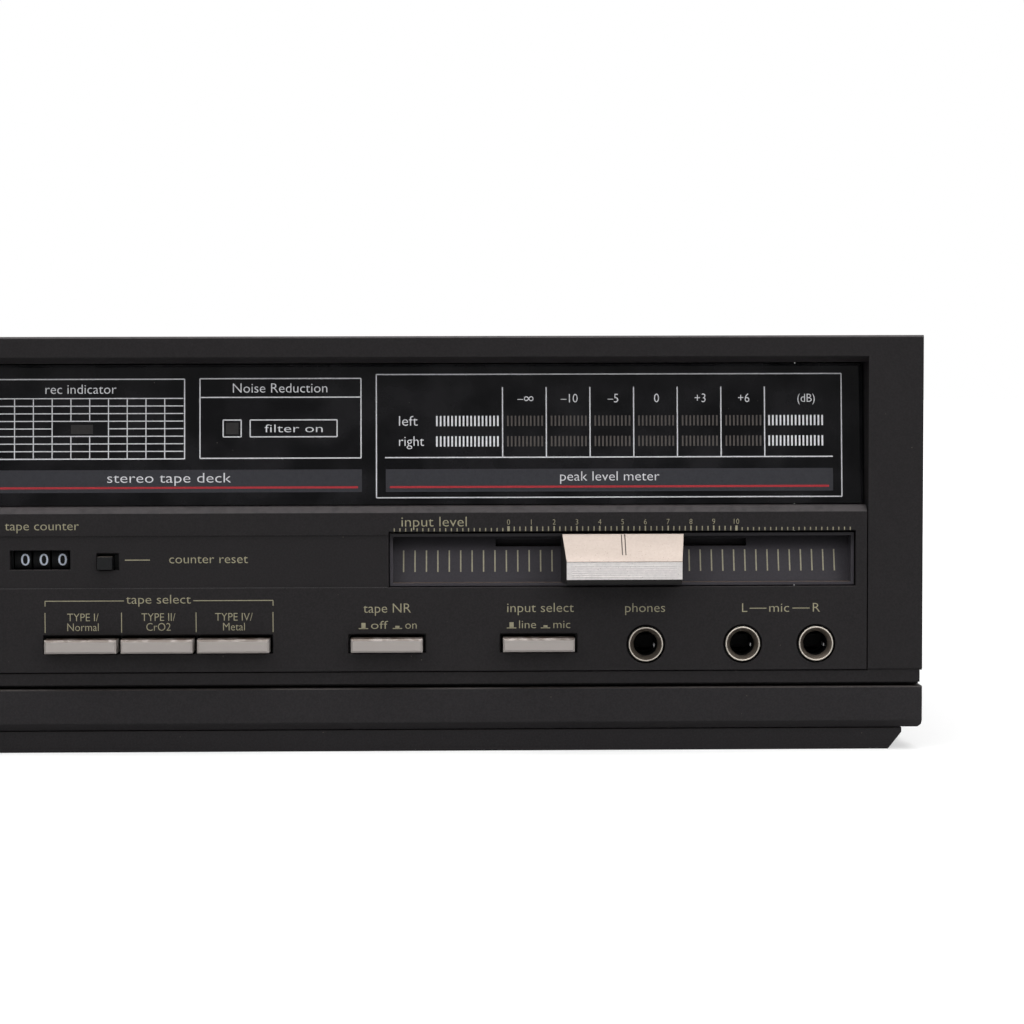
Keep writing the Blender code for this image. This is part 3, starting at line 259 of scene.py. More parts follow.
def lens_smoke():
    """Dark see-through acrylic: most light passes, tinted, and the rest mirrors."""
    surface = Surface("lens_smoke", (0.03, 0.03, 0.034), 0.06)
    haze = surface.patches(18 * mm, 0.4, 0.7, detail=3.0)
    tint = surface.mix(haze, (0.62, 0.62, 0.64), (0.52, 0.52, 0.54))
    clear = surface.node("BsdfTransparent", {0: tint}).outputs[0]
    share = surface.maths("ADD", surface.node("Fresnel", {"IOR": 1.49}).outputs[0], 0.04)
    layer = surface.node("MixShader", {0: share, 1: clear, 2: surface.shader.outputs[0]})
    surface.tree.links.new(layer.outputs[0], surface.output.inputs["Surface"])
    surface.gloss(8 * mm, 0.4, 0.8, 0.04, 0.14, 4.0)
    return surface.material


def brushed(name, colour, roughness, stretch):
    return finish(name, colour, roughness, 1.0, 0.35, 0.003, variation=0.08, stretch=stretch, edge=0.2)


def circuit_board():
    surface = Surface("circuit_board", (0.20, 0.14, 0.05), 0.5)
    tracks = surface.remap(surface.cells(5 * mm, feature="DISTANCE_TO_EDGE"), 0.10, 0.13)
    fibre = surface.noise(0.6 * mm, 3.0)
    board = surface.mix(fibre, (0.23, 0.165, 0.065), (0.17, 0.12, 0.04))
    surface.paint(tracks, (0.10, 0.115, 0.035), board)
    surface.feed("Roughness", surface.remap(fibre, 0.3, 0.7, 0.4, 0.6))
    surface.bump(tracks, 0.03 * mm)
    return surface.material


def turned_brass():
    surface = Surface("turned_brass", (0.60, 0.44, 0.20), 0.3, 1.0)
    fine = surface.noise(0.5 * mm, 3.0, (0.3, 3, 0.3))
    broad = surface.noise(9 * mm, 3.0)
    surface.paint(broad, (0.64, 0.47, 0.22), (0.52, 0.37, 0.16))
    surface.feed("Roughness", surface.remap(fine, 0.3, 0.7, 0.22, 0.38))
    surface.bump(fine, 0.006 * mm)
    return surface.material


def coil_wrap():
    surface = Surface("coil_wrap", (0.55, 0.40, 0.12), 0.5)
    turns = surface.waves(0.55 * mm, "Z")
    surface.paint(turns, (0.36, 0.24, 0.06), (0.62, 0.46, 0.15))
    surface.gloss(4 * mm, 0.3, 0.7, 0.42, 0.58)
    surface.bump(turns, 0.25 * mm)
    return surface.material


def laminated(name):
    surface = Surface(name, (0.30, 0.30, 0.31), 0.45, 0.8)
    rust = surface.patches(6 * mm, 0.55, 0.75, detail=4.0)
    surface.paint(rust, (0.30, 0.30, 0.31), (0.22, 0.16, 0.12))
    surface.gloss(2 * mm, 0.3, 0.7, 0.38, 0.55)
    surface.bump(surface.waves(0.6 * mm, "Y"), 0.10 * mm)
    return surface.material


def ink(name, colour):
    """Screen print: slightly uneven cover, matt."""
    surface = Surface(name, colour, 0.6)
    cover = surface.patches(0.5 * mm, 0.35, 0.65, detail=3.0)
    surface.paint(cover, tone(colour, 0.86), tone(colour, 1.06))
    surface.gloss(1.2 * mm, 0.3, 0.7, 0.52, 0.68)
    return surface.material


def zinc_plate():
    surface = Surface("zinc_plate", (0.55, 0.54, 0.48), 0.38, 0.9)
    crystals = surface.node("RGBToBW", {0: surface.cells(4 * mm, "Color")}).outputs[0]
    surface.paint(crystals, (0.50, 0.48, 0.40), (0.60, 0.60, 0.56))
    surface.feed("Roughness", surface.remap(crystals, 0.1, 0.9, 0.30, 0.46))
    surface.bump(surface.noise(0.4 * mm), 0.004 * mm)
    return surface.material


def tray_plastic():
    """Grey-violet plastic, darker towards the top, where the panel shades it; dusty ledge below."""
    surface = moulded("tray_plastic", (0.050, 0.046, 0.054), 0.42, grain=0.3, depth=0.006, dust=0.85,
                      dust_colour=(0.15, 0.105, 0.075), edge=0.1, shine=0.25, speckle=0.10)
    plain = surface.shader.inputs["Base Color"].links[0].from_socket
    # Painted shade: the colour darkens towards the top of the tray, where the panel overhang shades it.
    shade = surface.remap(surface.upright_part(surface.place), tray_high.z - 4.8 * mm, tray_high.z - 1.6 * mm)
    deep = surface.maths("SUBTRACT", 1.0, surface.both(shade, 0.62))
    surface.paint(deep, (0.004, 0.004, 0.004), plain)
    return surface.material


def knob_metal(name, light, dark):
    """Satin metal with fine mottling and a few dark specks."""
    surface = moulded(name, light, 0.36, 0.3, grain=0.25, depth=0.002, variation=0.03, edge=0.12,
                      stretch=(0.25, 1, 1))
    blend = surface.mix(surface.patches(0.7 * mm, 0.25, 0.75, detail=3.0), dark, light)
    surface.paint(surface.patches(0.35 * mm, 0.66, 0.74), blend, tone(dark, 0.55))
    return surface.material


materials = {
    "charcoal": finish("charcoal_moulding", (0.0130, 0.0115, 0.0123), 0.50, grain=0.40, depth=0.010,
                       dust=0.60, dust_colour=(0.072, 0.062, 0.064), wear=0.35, edge=0.35, shine=0.22,
                       speckle=0.30),
    "sill": finish("sill_moulding", (0.0172, 0.0155, 0.0168), 0.50, grain=0.40, depth=0.010, dust=0.2,
                   wear=0.35, edge=0.35, shine=0.22, speckle=0.30),
    "cover": finish("cover_paint", (0.017, 0.016, 0.017), 0.52, grain=0.35, depth=0.012, dust=0.08,
                    wear=0.5, edge=0.4, shine=0.3),
    "chassis": finish("chassis_paint", (0.024, 0.024, 0.025), 0.48, grain=0.6, depth=0.012, wear=0.5),
    "window": window_gloss(),
    "lens": lens_smoke(),
    "champagne": finish("champagne_cap", (0.46, 0.42, 0.395), 0.36, 0.35, grain=0.25, depth=0.0025,
                        variation=0.05, dust=0.95, dust_colour=(0.070, 0.046, 0.033), edge=0.12,
                        stretch=(0.12, 1, 1)),
    "nickel": brushed("nickel", (0.60, 0.56, 0.50), 0.24, (1, 0.2, 1)),
    "steel": brushed("steel", (0.46, 0.46, 0.46), 0.34, (0.15, 1, 1)),
    "zinc": zinc_plate(),
    "board": circuit_board(),
    "rubber": finish("rubber", (0.016, 0.016, 0.017), 0.78, grain=0.5, depth=0.02, variation=0.2, dust=0.12,
                     edge=0.2),
    "plastic": finish("black_plastic", (0.008, 0.008, 0.0085), 0.42, grain=0.16, depth=0.005, variation=0.1,
                      dust=0.06, edge=0.2, shine=0.25),
    "tray": tray_plastic(),
    "brass": turned_brass(),
    "coil": coil_wrap(),
    "core": laminated("core_steel"),
    "pot": finish("pot_body", (0.085, 0.080, 0.088), 0.5, grain=0.3, edge=0.1, shine=0.2),
    # Near-black for the sleeve in the jack bores: painted shade of the deep bore.
    "deep_black": finish("deep_black", (0.003, 0.003, 0.003), 0.5, shine=0.1),
    "counter": finish("counter_black", (0.003, 0.003, 0.0035), 0.4, shine=0.15),
    "reset": finish("reset_black", (0.0075, 0.0078, 0.0085), 0.42, dust=0.5, edge=0.15, shine=0.3),
    "knob_body": finish("knob_body", (0.010, 0.009, 0.009), 0.5, grain=0.2, depth=0.005, edge=0.15,
                        shine=0.3),
    "knob_cream": knob_metal("knob_cream", (0.385, 0.320, 0.277), (0.345, 0.285, 0.246)),
    "knob_silver": knob_metal("knob_silver", (0.90, 0.855, 0.835), (0.78, 0.74, 0.73)),
    "jack_metal": finish("jack_metal", (0.34, 0.285, 0.235), 0.34, 0.8, grain=0.3, variation=0.2, edge=0.1),
    # Jack rim: the socket's metal made pale with a painted highlight, where light catches the rounded rim.
    "jack_rim": finish("jack_rim", (0.70, 0.64, 0.56), 0.36, 0.5, grain=0.3, depth=0.003, edge=0.05),
    "chassis_screw": finish("screw_black", (0.03, 0.03, 0.031), 0.35, 0.6, grain=0.4, wear=0.6, edge=0.15),
    "insert_red": finish("insert_red", (0.45, 0.03, 0.03), 0.4, grain=0.3, depth=0.003, edge=0.1),
    "insert_white": finish("insert_white", (0.66, 0.65, 0.62), 0.4, grain=0.3, depth=0.003, edge=0.1),
    "pale_plastic": finish("pale_plastic", (0.50, 0.49, 0.46), 0.45, grain=0.3, edge=0.15),
    "can_sleeve": finish("can_sleeve", (0.02, 0.03, 0.07), 0.35, grain=0.4, depth=0.003, edge=0.2),
}

inks = {
    "white_ink": (0.74, 0.74, 0.77),
    "bright_bar": (0.85, 0.85, 0.88),
    "dim_bar": (0.082, 0.070, 0.064),
    "khaki_ink": (0.335, 0.308, 0.205),
    "mark_ink": (0.42, 0.39, 0.28),
    "band_ink": (0.0215, 0.0215, 0.0285),
    "red_ink": (0.42, 0.016, 0.026),
    "index_ink": (0.045, 0.026, 0.018),
    "digit_ink": (0.68, 0.74, 0.86),
    "lamp_window": (0.014, 0.012, 0.012),
}
materials.update({name: ink(name, colour) for name, colour in inks.items()})

transport_keys = [f"{word}_key" for word in ("record", "rewind", "play", "forward", "stop", "pause")]
wheels = [f"counter_wheel_{number}" for number in (1, 2, 3)]
tape_keys = [f"tape_key_{number}" for number in (1, 2, 3)]
spindles = ["supply_spindle", "take_up_spindle"]
node_materials = {
    "charcoal": ["front_frame", "control_panel", "transport_panel", "cassette_door", *transport_keys],
    "sill": ["base_sill", "plinth_bar"],
    "cover": ["top_cover"],
    "chassis": ["bottom_chassis", "rear_panel"],
    "window": ["display_window"],
    "lens": ["door_window"],
    "champagne": [*tape_keys, "noise_key", "input_key", "power_button"],
    "nickel": ["record_play_head", "erase_head"],
    "steel": ["key_shaft", "pinch_arm"],
    "zinc": ["mech_plate", "head_plate", "drive_motor"],
    "board": ["main_board", "display_board"],
    "rubber": ["rear_foot_left", "rear_foot_right", "mains_gland", "drive_belt", "pinch_roller"],
    "pot": ["slide_pot"],
    "plastic": ["rca_block", "tape_switch", "noise_switch", "input_switch", "power_switch",
                "cassette_holder", *spindles],
    "counter": ["counter_body", *wheels],
    "tray": ["slider_tray"],
    "brass": ["capstan_flywheel", "motor_pulley"],
    "core": ["transformer_core"],
    "coil": ["transformer_coil"],
}


def paint_nodes():
    for name, nodes in node_materials.items():
        for node in nodes:
            data = frame["nodes"][node].data
            data.materials.clear()
            data.materials.append(materials[name])


# Mesh helpers
def add_object(name, data):
    item = bpy.data.objects.new(name, data)
    bpy.context.scene.collection.objects.link(item)
    return item


def mesh_data(name, mesh):
    data = bpy.data.meshes.new(name)
    mesh.to_mesh(data)
    mesh.free()
    return data


def piece(name, mesh, material, body="deck", smooth=False):
    """Turns a mesh into a named piece that rides on a body."""
    bmesh.ops.recalc_face_normals(mesh, faces=mesh.faces)
    data = mesh_data(name, mesh)
    for polygon in data.polygons:
        polygon.use_smooth = smooth
    if smooth:
        data.set_sharp_from_angle(angle=math.radians(35))
    data.materials.append(materials[material])
    item = add_object(name, data)
    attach(item, body)
    return item


def joined(mesh, first, second):
    """Solid between two outlines with the same number of corners."""
    starts, ends = ([mesh.verts.new(point) for point in outline] for outline in (first, second))
    mesh.faces.new(ends)
    mesh.faces.new(reversed(starts))
    count = len(starts)
    for index in range(count):
        after = (index + 1) % count
        mesh.faces.new((starts[index], starts[after], ends[after], ends[index]))


def plate(mesh, place, outline, lift=ink_lift):
    """Flat raised shape on a surface; outline is a list of (x, z)."""
    joined(mesh, [place(x, z) for x, z in outline], [place(x, z, lift) for x, z in outline])


def strip(mesh, place, left, right, low, high, lift=ink_lift):
    plate(mesh, place, [(left, low), (right, low), (right, high), (left, high)], lift)


def level_line(mesh, place, left, right, z, width=line_width):
    strip(mesh, place, left, right, z - width / 2, z + width / 2)


def upright_line(mesh, place, x, low, high, width=line_width):
    strip(mesh, place, x - width / 2, x + width / 2, low, high)


def outlined(mesh, place, left, right, low, high, width=line_width):
    level_line(mesh, place, left, right, low, width)
    level_line(mesh, place, left, right, high, width)
    upright_line(mesh, place, left, low, high, width)
    upright_line(mesh, place, right, low, high, width)


def letter_mesh(text, weight):
    curve = bpy.data.curves.new(text, "FONT")
    curve.body = text
    curve.offset = weight
    curve.resolution_u = 3
    curve.extrude = half
    holder = add_object(text, curve)
    bpy.context.view_layer.update()
    data = bpy.data.meshes.new_from_object(holder.evaluated_get(bpy.context.evaluated_depsgraph_get()))
    bpy.data.objects.remove(holder)
    bpy.data.curves.remove(curve)
    return data


def cap_height():
    data = letter_mesh("H", 0)
    tall = max(vertex.co.y for vertex in data.vertices)
    bpy.data.meshes.remove(data)
    return tall


cap = cap_height()


def letters(mesh, place, text, x, z, height, width=None, align="LEFT", weight=-0.008, lift=ink_lift):
    """Lettering with capitals of that height on the line z; x is its left end or its middle."""
    data = letter_mesh(text, weight)
    xs = [vertex.co.x for vertex in data.vertices]
    left, right = min(xs), max(xs)
    scale_z = height / cap
    scale_x = width / (right - left) if width else scale_z * 0.92
    start = x - (right - left) * scale_x / 2 if align == "CENTER" else x
    verts = []
    for vertex in data.vertices:
        u = start + (vertex.co.x - left) * scale_x
        verts.append(mesh.verts.new(place(u, z + vertex.co.y * scale_z, (vertex.co.z + half) * lift)))
    for polygon in data.polygons:
        mesh.faces.new([verts[index] for index in polygon.vertices])
    bpy.data.meshes.remove(data)


def lathe(mesh, profile, centre, axis="y", sides=48, squared=()):
    """Closed ring of (radius, level) turned round an axis through centre; a radius of 0 closes a face.
    Rows whose numbers are in squared turn into squares of that half width."""
    loops = []
    for row, (radius, level) in enumerate(profile):
        count = 1 if radius == 0 else sides
        loop = []
        for index in range(count):
            angle = 2 * math.pi * index / sides
            c, s = math.cos(angle), math.sin(angle)
            reach = radius / max(abs(c), abs(s)) if row in squared else radius
            a, b = reach * c, reach * s
            point = {"x": (level, a, b), "y": (a, level, b), "z": (a, b, level)}[axis]
            loop.append(mesh.verts.new(Vector(centre) + Vector(point)))
        loops.append(loop)
    for near, far in zip(loops, loops[1:] + loops[:1]):
        if len(near) == 1 and len(far) == 1:
            continue
        for index in range(sides):
            after = (index + 1) % sides
            pairs = ((near, index), (near, after), (far, after), (far, index))
            mesh.faces.new(list(dict.fromkeys(loop[number % len(loop)] for loop, number in pairs)))


def block(mesh, low, high):
    low, high = Vector(low), Vector(high)
    place = Matrix.Translation((low + high) / 2) @ Matrix.Diagonal((*(high - low), 1))
    bmesh.ops.create_cube(mesh, size=1, matrix=place)


class Print:
    """Marks on one surface, in one mesh, placed in millimetres."""

    def __init__(self, place, mesh=None):
        self.mesh = bmesh.new() if mesh is None else mesh
        self.place = lambda x, z, out=0: place(x * mm, z * mm, out)

    def strip(self, left, right, low, high, lift=ink_lift):
        strip(self.mesh, self.place, left, right, low, high, lift)

    def level(self, left, right, z, width=line_width / mm):
        level_line(self.mesh, self.place, left, right, z, width)

    def upright(self, x, low, high, width=line_width / mm):
        upright_line(self.mesh, self.place, x, low, high, width)

    def frame(self, left, right, low, high):
        outlined(self.mesh, self.place, left, right, low, high, line_width / mm)

    def text(self, text, x, z, height, width=None, align="LEFT", weight=-0.008):
        letters(self.mesh, self.place, text, x, z, height, width, align, weight)


# Print on the display window
meter_left, meter_right, meter_low, meter_high = 69.7, 194.35, 67.55, 100.45
meter_line_z = 78.25
meter_pitch = 11.71
meter_first = 103.45
meter_line_top = 97.0
bar_pitch = 1.02
bar_width = 0.44
bar_rows = ((81.15, 83.9), (86.6, 89.35))
band_low, band_high = 69.1, 75.15
red_low, red_high = 70.1, 70.65
scale_labels = ("\u2013∞", "\u201310", "\u20135", "0", "+3", "+6")


def meter_print():
    marks = Print(window_point)
    marks.frame(meter_left, meter_right, meter_low, meter_high)
    marks.level(72.0, 192.0, meter_line_z)
    for index in range(7):
        marks.upright(meter_first + index * meter_pitch, meter_line_z, meter_line_top)
    for index, text in enumerate(scale_labels):
        x = meter_first + (index + half) * meter_pitch + 0.3
        marks.text(text, x, 92.85, 2.3, align="CENTER")
    marks.text("(dB)", 184.9, 92.85, 2.2, align="CENTER")
    marks.text("left", 75.75, 86.75, 2.6, 5.0)
    marks.text("right", 75.75, 81.35, 2.6, 6.7)
    marks.text("peak level meter", 132.1, 71.95, 2.5, 26.6, "CENTER")
    piece("meter_print", marks.mesh, "white_ink")


def bar_group(marks, first, count):
    for low, high in bar_rows:
        for index in range(count):
            x = first + index * bar_pitch
            marks.strip(x, x + bar_width, low, high)


def meter_bars():
    marks = Print(window_point)
    bar_group(marks, 85.65, 17)
    bar_group(marks, 174.7, 15)
    piece("meter_bars_end", marks.mesh, "bright_bar")
    marks = Print(window_point)
    for index in range(6):
        bar_group(marks, meter_first + index * meter_pitch + 1.2, 10)
    piece("meter_bars_middle", marks.mesh, "dim_bar")


def window_bands():
    marks = Print(window_point)
    for left, right in ((window_low.x / mm + 1.2, 65.8), (72.2, 192.0)):
        marks.strip(left, right, band_low, band_high, ink_lift / 2)
    piece("window_bands", marks.mesh, "band_ink")
    marks = Print(window_point)
    for left, right in ((window_low.x / mm + 1.2, 64.75), (73.3, 190.9)):
        marks.strip(left, right, red_low, red_high)
    piece("red_lines", marks.mesh, "red_ink")


def noise_box_print():
    marks = Print(window_point)
    marks.frame(22.62, 65.6, 78.2, 99.45)
    marks.level(22.62, 65.6, 94.45)
    marks.text("Noise Reduction", 44.0, 95.7, 2.5, 25.2, "CENTER")
    marks.frame(36.0, 59.2, 83.9, 88.4)
    marks.text("filter on", 47.6, 85.1, 2.1, 15.5, "CENTER")
    marks.frame(28.8, 33.6, 83.9, 88.4)
    piece("noise_box_print", marks.mesh, "white_ink")
    marks = Print(window_point)
    marks.strip(29.5, 32.9, 84.6, 87.7, ink_lift / 2)
    piece("noise_lamp", marks.mesh, "lamp_window")


grid_right, grid_pitch_x, grid_columns = 18.22, 4.997, 11
grid_low, grid_pitch_z, grid_rows = 78.1, 2.016, 8
grid_gap_columns, grid_gap_rows = (4, 7), (3, 5)


def recording_grid():
    """Indicator box with a fine grid, open round the lamp in its middle."""
    marks = Print(window_point)
    left = grid_right - grid_columns * grid_pitch_x
    high = grid_low + grid_rows * grid_pitch_z
    marks.frame(left, grid_right + 0.3, grid_low, 99.35)
    thin = 0.25
    gap_left = grid_right - grid_gap_columns[1] * grid_pitch_x
    gap_right = grid_right - grid_gap_columns[0] * grid_pitch_x
    gap_low = grid_low + grid_gap_rows[0] * grid_pitch_z
    gap_high = grid_low + grid_gap_rows[1] * grid_pitch_z
    for index in range(1, grid_columns):
        x = grid_right - index * grid_pitch_x
        if grid_gap_columns[0] < index < grid_gap_columns[1]:
            marks.upright(x, grid_low, gap_low, thin)
            marks.upright(x, gap_high, high, thin)
        else:
            marks.upright(x, grid_low, high, thin)
    for index in range(1, grid_rows + 1):
        z = grid_low + index * grid_pitch_z
        if grid_gap_rows[0] < index < grid_gap_rows[1]:
            marks.level(left, gap_left, z, thin)
            marks.level(gap_right, grid_right, z, thin)
        else:
            marks.level(left, grid_right, z, thin)
    marks.text("rec indicator", -9.1, 95.5, 2.5, 18.9, "CENTER")
    marks.text("stereo tape deck", 14.4, 71.75, 2.6, 33.0, "CENTER")
    piece("recording_grid", marks.mesh, "white_ink")
    marks = Print(window_point)
    marks.strip(-11.75, -5.9, 84.8, 87.2, ink_lift / 2)
    piece("recording_lamp", marks.mesh, "lamp_window")


# Print on the control panel
scale_zero, scale_step = 104.85, 6.052
scale_base = 58.85
ticks_per_step = 4


def level_scale():
    marks = Print(face_point)
    pitch = scale_step / ticks_per_step
    for index in range(-20, 61):
        inside = 0 <= index <= 10 * ticks_per_step
        whole = inside and index % ticks_per_step == 0
        end = index in (0, 10 * ticks_per_step)
        width = 0.62 if end else 0.36 if whole else 0.26
        tall = 1.30 if whole else 1.20 if inside else 0.85
        marks.upright(scale_zero + index * pitch, scale_base, scale_base + tall, width)
    for index in range(11):
        x = scale_zero + index * scale_step
        marks.text(str(index), x, 60.55, 1.4, align="CENTER", weight=-0.012)
    marks.text("input level", 76.5, 60.15, 2.6, 17.3)
    piece("level_scale", marks.mesh, "khaki_ink")


def push_icon(marks, x, z, pressed):
    """Small picture of a push button on its panel line, out or in."""
    marks.level(x - 1.25, x + 1.25, z, 0.25)
    rise = 0.7 if pressed else 1.5
    marks.strip(x - 0.55, x + 0.55, z, z + rise)


wide_size, small_size = 2.35, 2.1
thin_line = 0.22
legend_rows = (
    ("tape counter", -28.2, 59.5, wide_size, 19.5),
    ("tape select", 12.1, 39.95, wide_size, 17.1, "CENTER"),
    ("tape NR", 72.6, 37.3, 2.45, 12.6, "CENTER"),
    ("input select", 113.3, 37.3, 2.45, 17.7, "CENTER"),
    ("phones", 141.1, 37.2, 2.4, 10.6, "CENTER"),
    ("L", 167.6, 37.1, wide_size, 1.4, "CENTER"),
    ("mic", 176.8, 37.1, wide_size, 5.3, "CENTER"),
    ("R", 186.7, 37.1, wide_size, 1.9, "CENTER"),
    ("power", -186.05, 37.2, 2.4, 9.2, "CENTER"),
)
tape_words = (("TYPE I/", "Normal"), ("TYPE II/", "CrO2"), ("TYPE IV/", "Metal"))
# Place of the sign, pressed or not, its word, the word's place and width
push_rows = (
    (66.3, False, "off", 68.3, 4.5),
    (75.3, True, "on", 77.4, 3.0),
    (105.6, False, "line", 107.6, 4.5),
    (114.6, True, "mic", 116.7, 4.5),
    (-190.3, False, "off", -188.8, None),
    (-182.9, True, "on", -181.4, None),
)


def panel_legends():
    marks = Print(face_point)
    for row in legend_rows:
        marks.text(*row)
    for inner, outer in ((3.0, -17.85), (21.3, 42.4)):
        marks.level(min(inner, outer), max(inner, outer), 40.7, thin_line)
        marks.upright(outer, 39.3, 40.7, thin_line)
    for x in (-17.9, 2.3, 22.0, 42.36):
        marks.upright(x, 32.3, 37.6, thin_line)
    for index, words in enumerate(tape_words):
        for z, word in zip((35.35, 32.75), words):
            marks.text(word, -7.9 + 19.95 * index, z, 2.05, align="CENTER")
    for x, pressed, word, word_x, width in push_rows:
        push_icon(marks, x, 33.1, pressed)
        marks.text(word, word_x, 33.0, small_size, width)
    for left, right in ((168.9, 173.4), (180.3, 184.9)):
        marks.level(left, right, 38.1, thin_line)
    in_band = Print(band_point, marks.mesh)
    in_band.level(3.3, 9.9, 51.5, 0.25)
    in_band.text("counter reset", 15.0, 50.6, wide_size, 20.8)
    piece("panel_legends", marks.mesh, "khaki_ink")


def tray_marks():
    """Ruled marks on the tray."""
    marks = Print(tray_point)
    for first, pitch in ((76.87, 3.052), (153.3, 2.99)):
        for index in range(14):
            marks.upright(first + index * pitch, 47.75, 53.4, 0.36)
    piece("tray_marks", marks.mesh, "mark_ink")


# Slider knob
knob_ridge_share = 0.466
knob_face_low_share = 0.102
knob_reach = 9.0 * mm
knob_top_reach = 2.0 * mm
knob_draft = 1.15 * mm
cap_sheet = 0.28 * mm
index_gap = 0.9 * mm
index_line = 0.28 * mm
index_share = 0.76
rib_count = 6
rib_pitch = 0.56 * mm
rib_height = 0.24 * mm
rib_inset = 1.3 * mm
knob_tall = knob_high.z - knob_low.z
knob_ridge = knob_low.z + knob_ridge_share * knob_tall
knob_face_low = knob_low.z + knob_face_low_share * knob_tall


def knob_slab(mesh, points, inset=0):
    """Solid with the side view points (reach, height), narrower where it stands further out."""
    wide = (knob_high.x - knob_low.x) / 2
    rows = []
    for side in (-1, 1):
        width = [side * (wide - knob_draft * max(0, reach) / knob_reach - inset) for reach, z in points]
        rows.append([Vector((slot_x + x, face_y - reach, z)) for x, (reach, z) in zip(width, points)])
    joined(mesh, *rows)


def knob_face(x, z, out=0):
    """Point on the slanted upper face of the cap."""
    share = (knob_high.z - z) / (knob_high.z - knob_ridge)
    reach = knob_top_reach + share * (knob_reach - knob_top_reach)
    slant = math.atan2(knob_reach - knob_top_reach, knob_high.z - knob_ridge)
    return Vector((x, face_y - reach - out * math.cos(slant), z + out * math.sin(slant)))


def knob():
    """Dark body with a folded metal cap on its slanted and its front face."""
    top, low = knob_high.z, knob_low.z
    body = bmesh.new()
    back_off = cap_sheet * 1.4
    soft = 0.6 * mm
    inside, rear, lip, step = knob_reach - cap_sheet, -3.0 * mm, -0.5 * mm, top - 1.5 * mm
    outline = [(rear, low), (inside - soft, low), (inside, low + soft), (inside, knob_ridge - 0.1 * mm),
               (knob_top_reach, top - back_off), (knob_top_reach - back_off, top), (lip, top), (lip, step),
               (rear, step)]
    knob_slab(body, outline, 0.1 * mm)
    holder = piece("knob_body", body, "knob_body", "level_slider")
    sheet = bmesh.new()
    knob_slab(sheet, [(knob_top_reach - back_off, top), (knob_top_reach, top), (knob_reach, knob_ridge),
                      (knob_reach - back_off, knob_ridge)])
    piece("knob_cap", sheet, "knob_cream", "level_slider")
    front = bmesh.new()
    front_top = knob_ridge - 0.12 * mm
    knob_slab(front, [(knob_reach, front_top), (knob_reach, knob_face_low), (inside, knob_face_low),
                      (inside, front_top)])
    wide = (knob_high.x - knob_low.x) / 2 - knob_draft - rib_inset

    def front_face(x, z, out=0):
        return Vector((x, face_y - knob_reach - out, z))

    for index in range(rib_count):
        z = knob_ridge - 1.0 * mm - index * rib_pitch
        strip(front, front_face, slot_x - wide, slot_x + wide, z - rib_height, z, 0.05 * mm)
    piece("knob_front", front, "knob_silver", "level_slider")
    lines = bmesh.new()
    end = top - index_share * (top - knob_ridge)
    for side in (-1, 1):
        x = slot_x + side * index_gap / 2
        strip(lines, knob_face, x - index_line / 2, x + index_line / 2, end, top - 0.1 * mm, 0.03 * mm)
    piece("knob_index", lines, "index_ink", "level_slider")
    return holder


# Jacks, counter, screws and rear fittings
jack_nodes = ("phones_jack", "mic_jack_left", "mic_jack_right")
jack_z = 28.65 * mm
# Socket measures in millimetres
ring_radius, bore_radius, bore_end, body_start = 4.57, 3.13, 9, 3.3


def in_mm(profile):
    return [(radius * mm, level * mm) for radius, level in profile]


def jack(node):
    """Socket with a rounded rim, a countersink that funnels into the bore, and its body behind the panel."""
    low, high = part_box(node)
    middle = Vector(((low.x + high.x) / 2, low.y, jack_z))
    half_body, deep = (high.x - low.x) / 2 / mm, (high.y - low.y) / mm

    def turned(part, profile, material, slot, sides=64, squared=(), blocks=()):
        mesh = bmesh.new()
        lathe(mesh, in_mm(profile), middle, sides=sides, squared=squared)
        for corners in blocks:
            block(mesh, *(middle + Vector(corner) * mm for corner in corners))
        return piece(f"{node}_{part}", mesh, material, smooth=True)

    neck, shoulder = ring_radius - 0.05, ring_radius - 0.36
    funnel = [(neck, body_start), (neck, 0.25), (shoulder, 0.25), (bore_radius, 2.1), (bore_radius, bore_end),
              (bore_radius + 0.6, bore_end)]
    socket = turned("bushing", funnel, "jack_metal", "nickel")
    ring, thick = (ring_radius + shoulder) / 2, (ring_radius - shoulder) / 2
    arc = [math.pi * step / 6 for step in range(7)]
    rim = [(ring + thick * math.cos(turn), 0.21 - thick * math.sin(turn)) for turn in arc]
    # The rim's pale colour is a painted highlight on the socket metal.
    turned("rim", rim + [(shoulder, 0.45), (ring_radius, 0.45)], "jack_rim", "nickel")
    outside, inside, floor_level = bore_radius + 0.1, bore_radius - 0.5, deep - 2
    body = [(outside, body_start), (outside, 9.1), (inside, 9.6), (inside, floor_level), (0, floor_level),
            (0, deep), (half_body, deep), (half_body, body_start)]
    turned("body", body, "plastic", "black_plastic", squared=(6, 7))
    # Near-black sleeve and end plate inside the bore: painted shade standing in for the dark of the deep bore.
    near, far, wide = bore_radius - 0.06, bore_radius - 0.02, bore_radius - 0.6
    turned("bore_shade_sleeve", [(near, 1.9), (near, 8.9), (far, 8.9), (far, 1.7)], "deep_black", "black_plastic", 48,
           blocks=[((-wide, 9.2, -1.8), (wide, 9.4, 1.8))])
    spring = bmesh.new()
    block(spring, middle + Vector((2.2, 2.6, -0.9)) * mm, middle + Vector((2.5, 6.0, -0.1)) * mm)
    piece(f"{node}_spring", spring, "steel")
    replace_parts(socket, node)


def soft_block(mesh, low, high, soft):
    before = set(mesh.verts)
    block(mesh, low, high)
    edges = [edge for edge in mesh.edges if edge.verts[0] not in before]
    bmesh.ops.bevel(mesh, geom=edges, offset=soft, segments=2, affect="EDGES", profile=half)


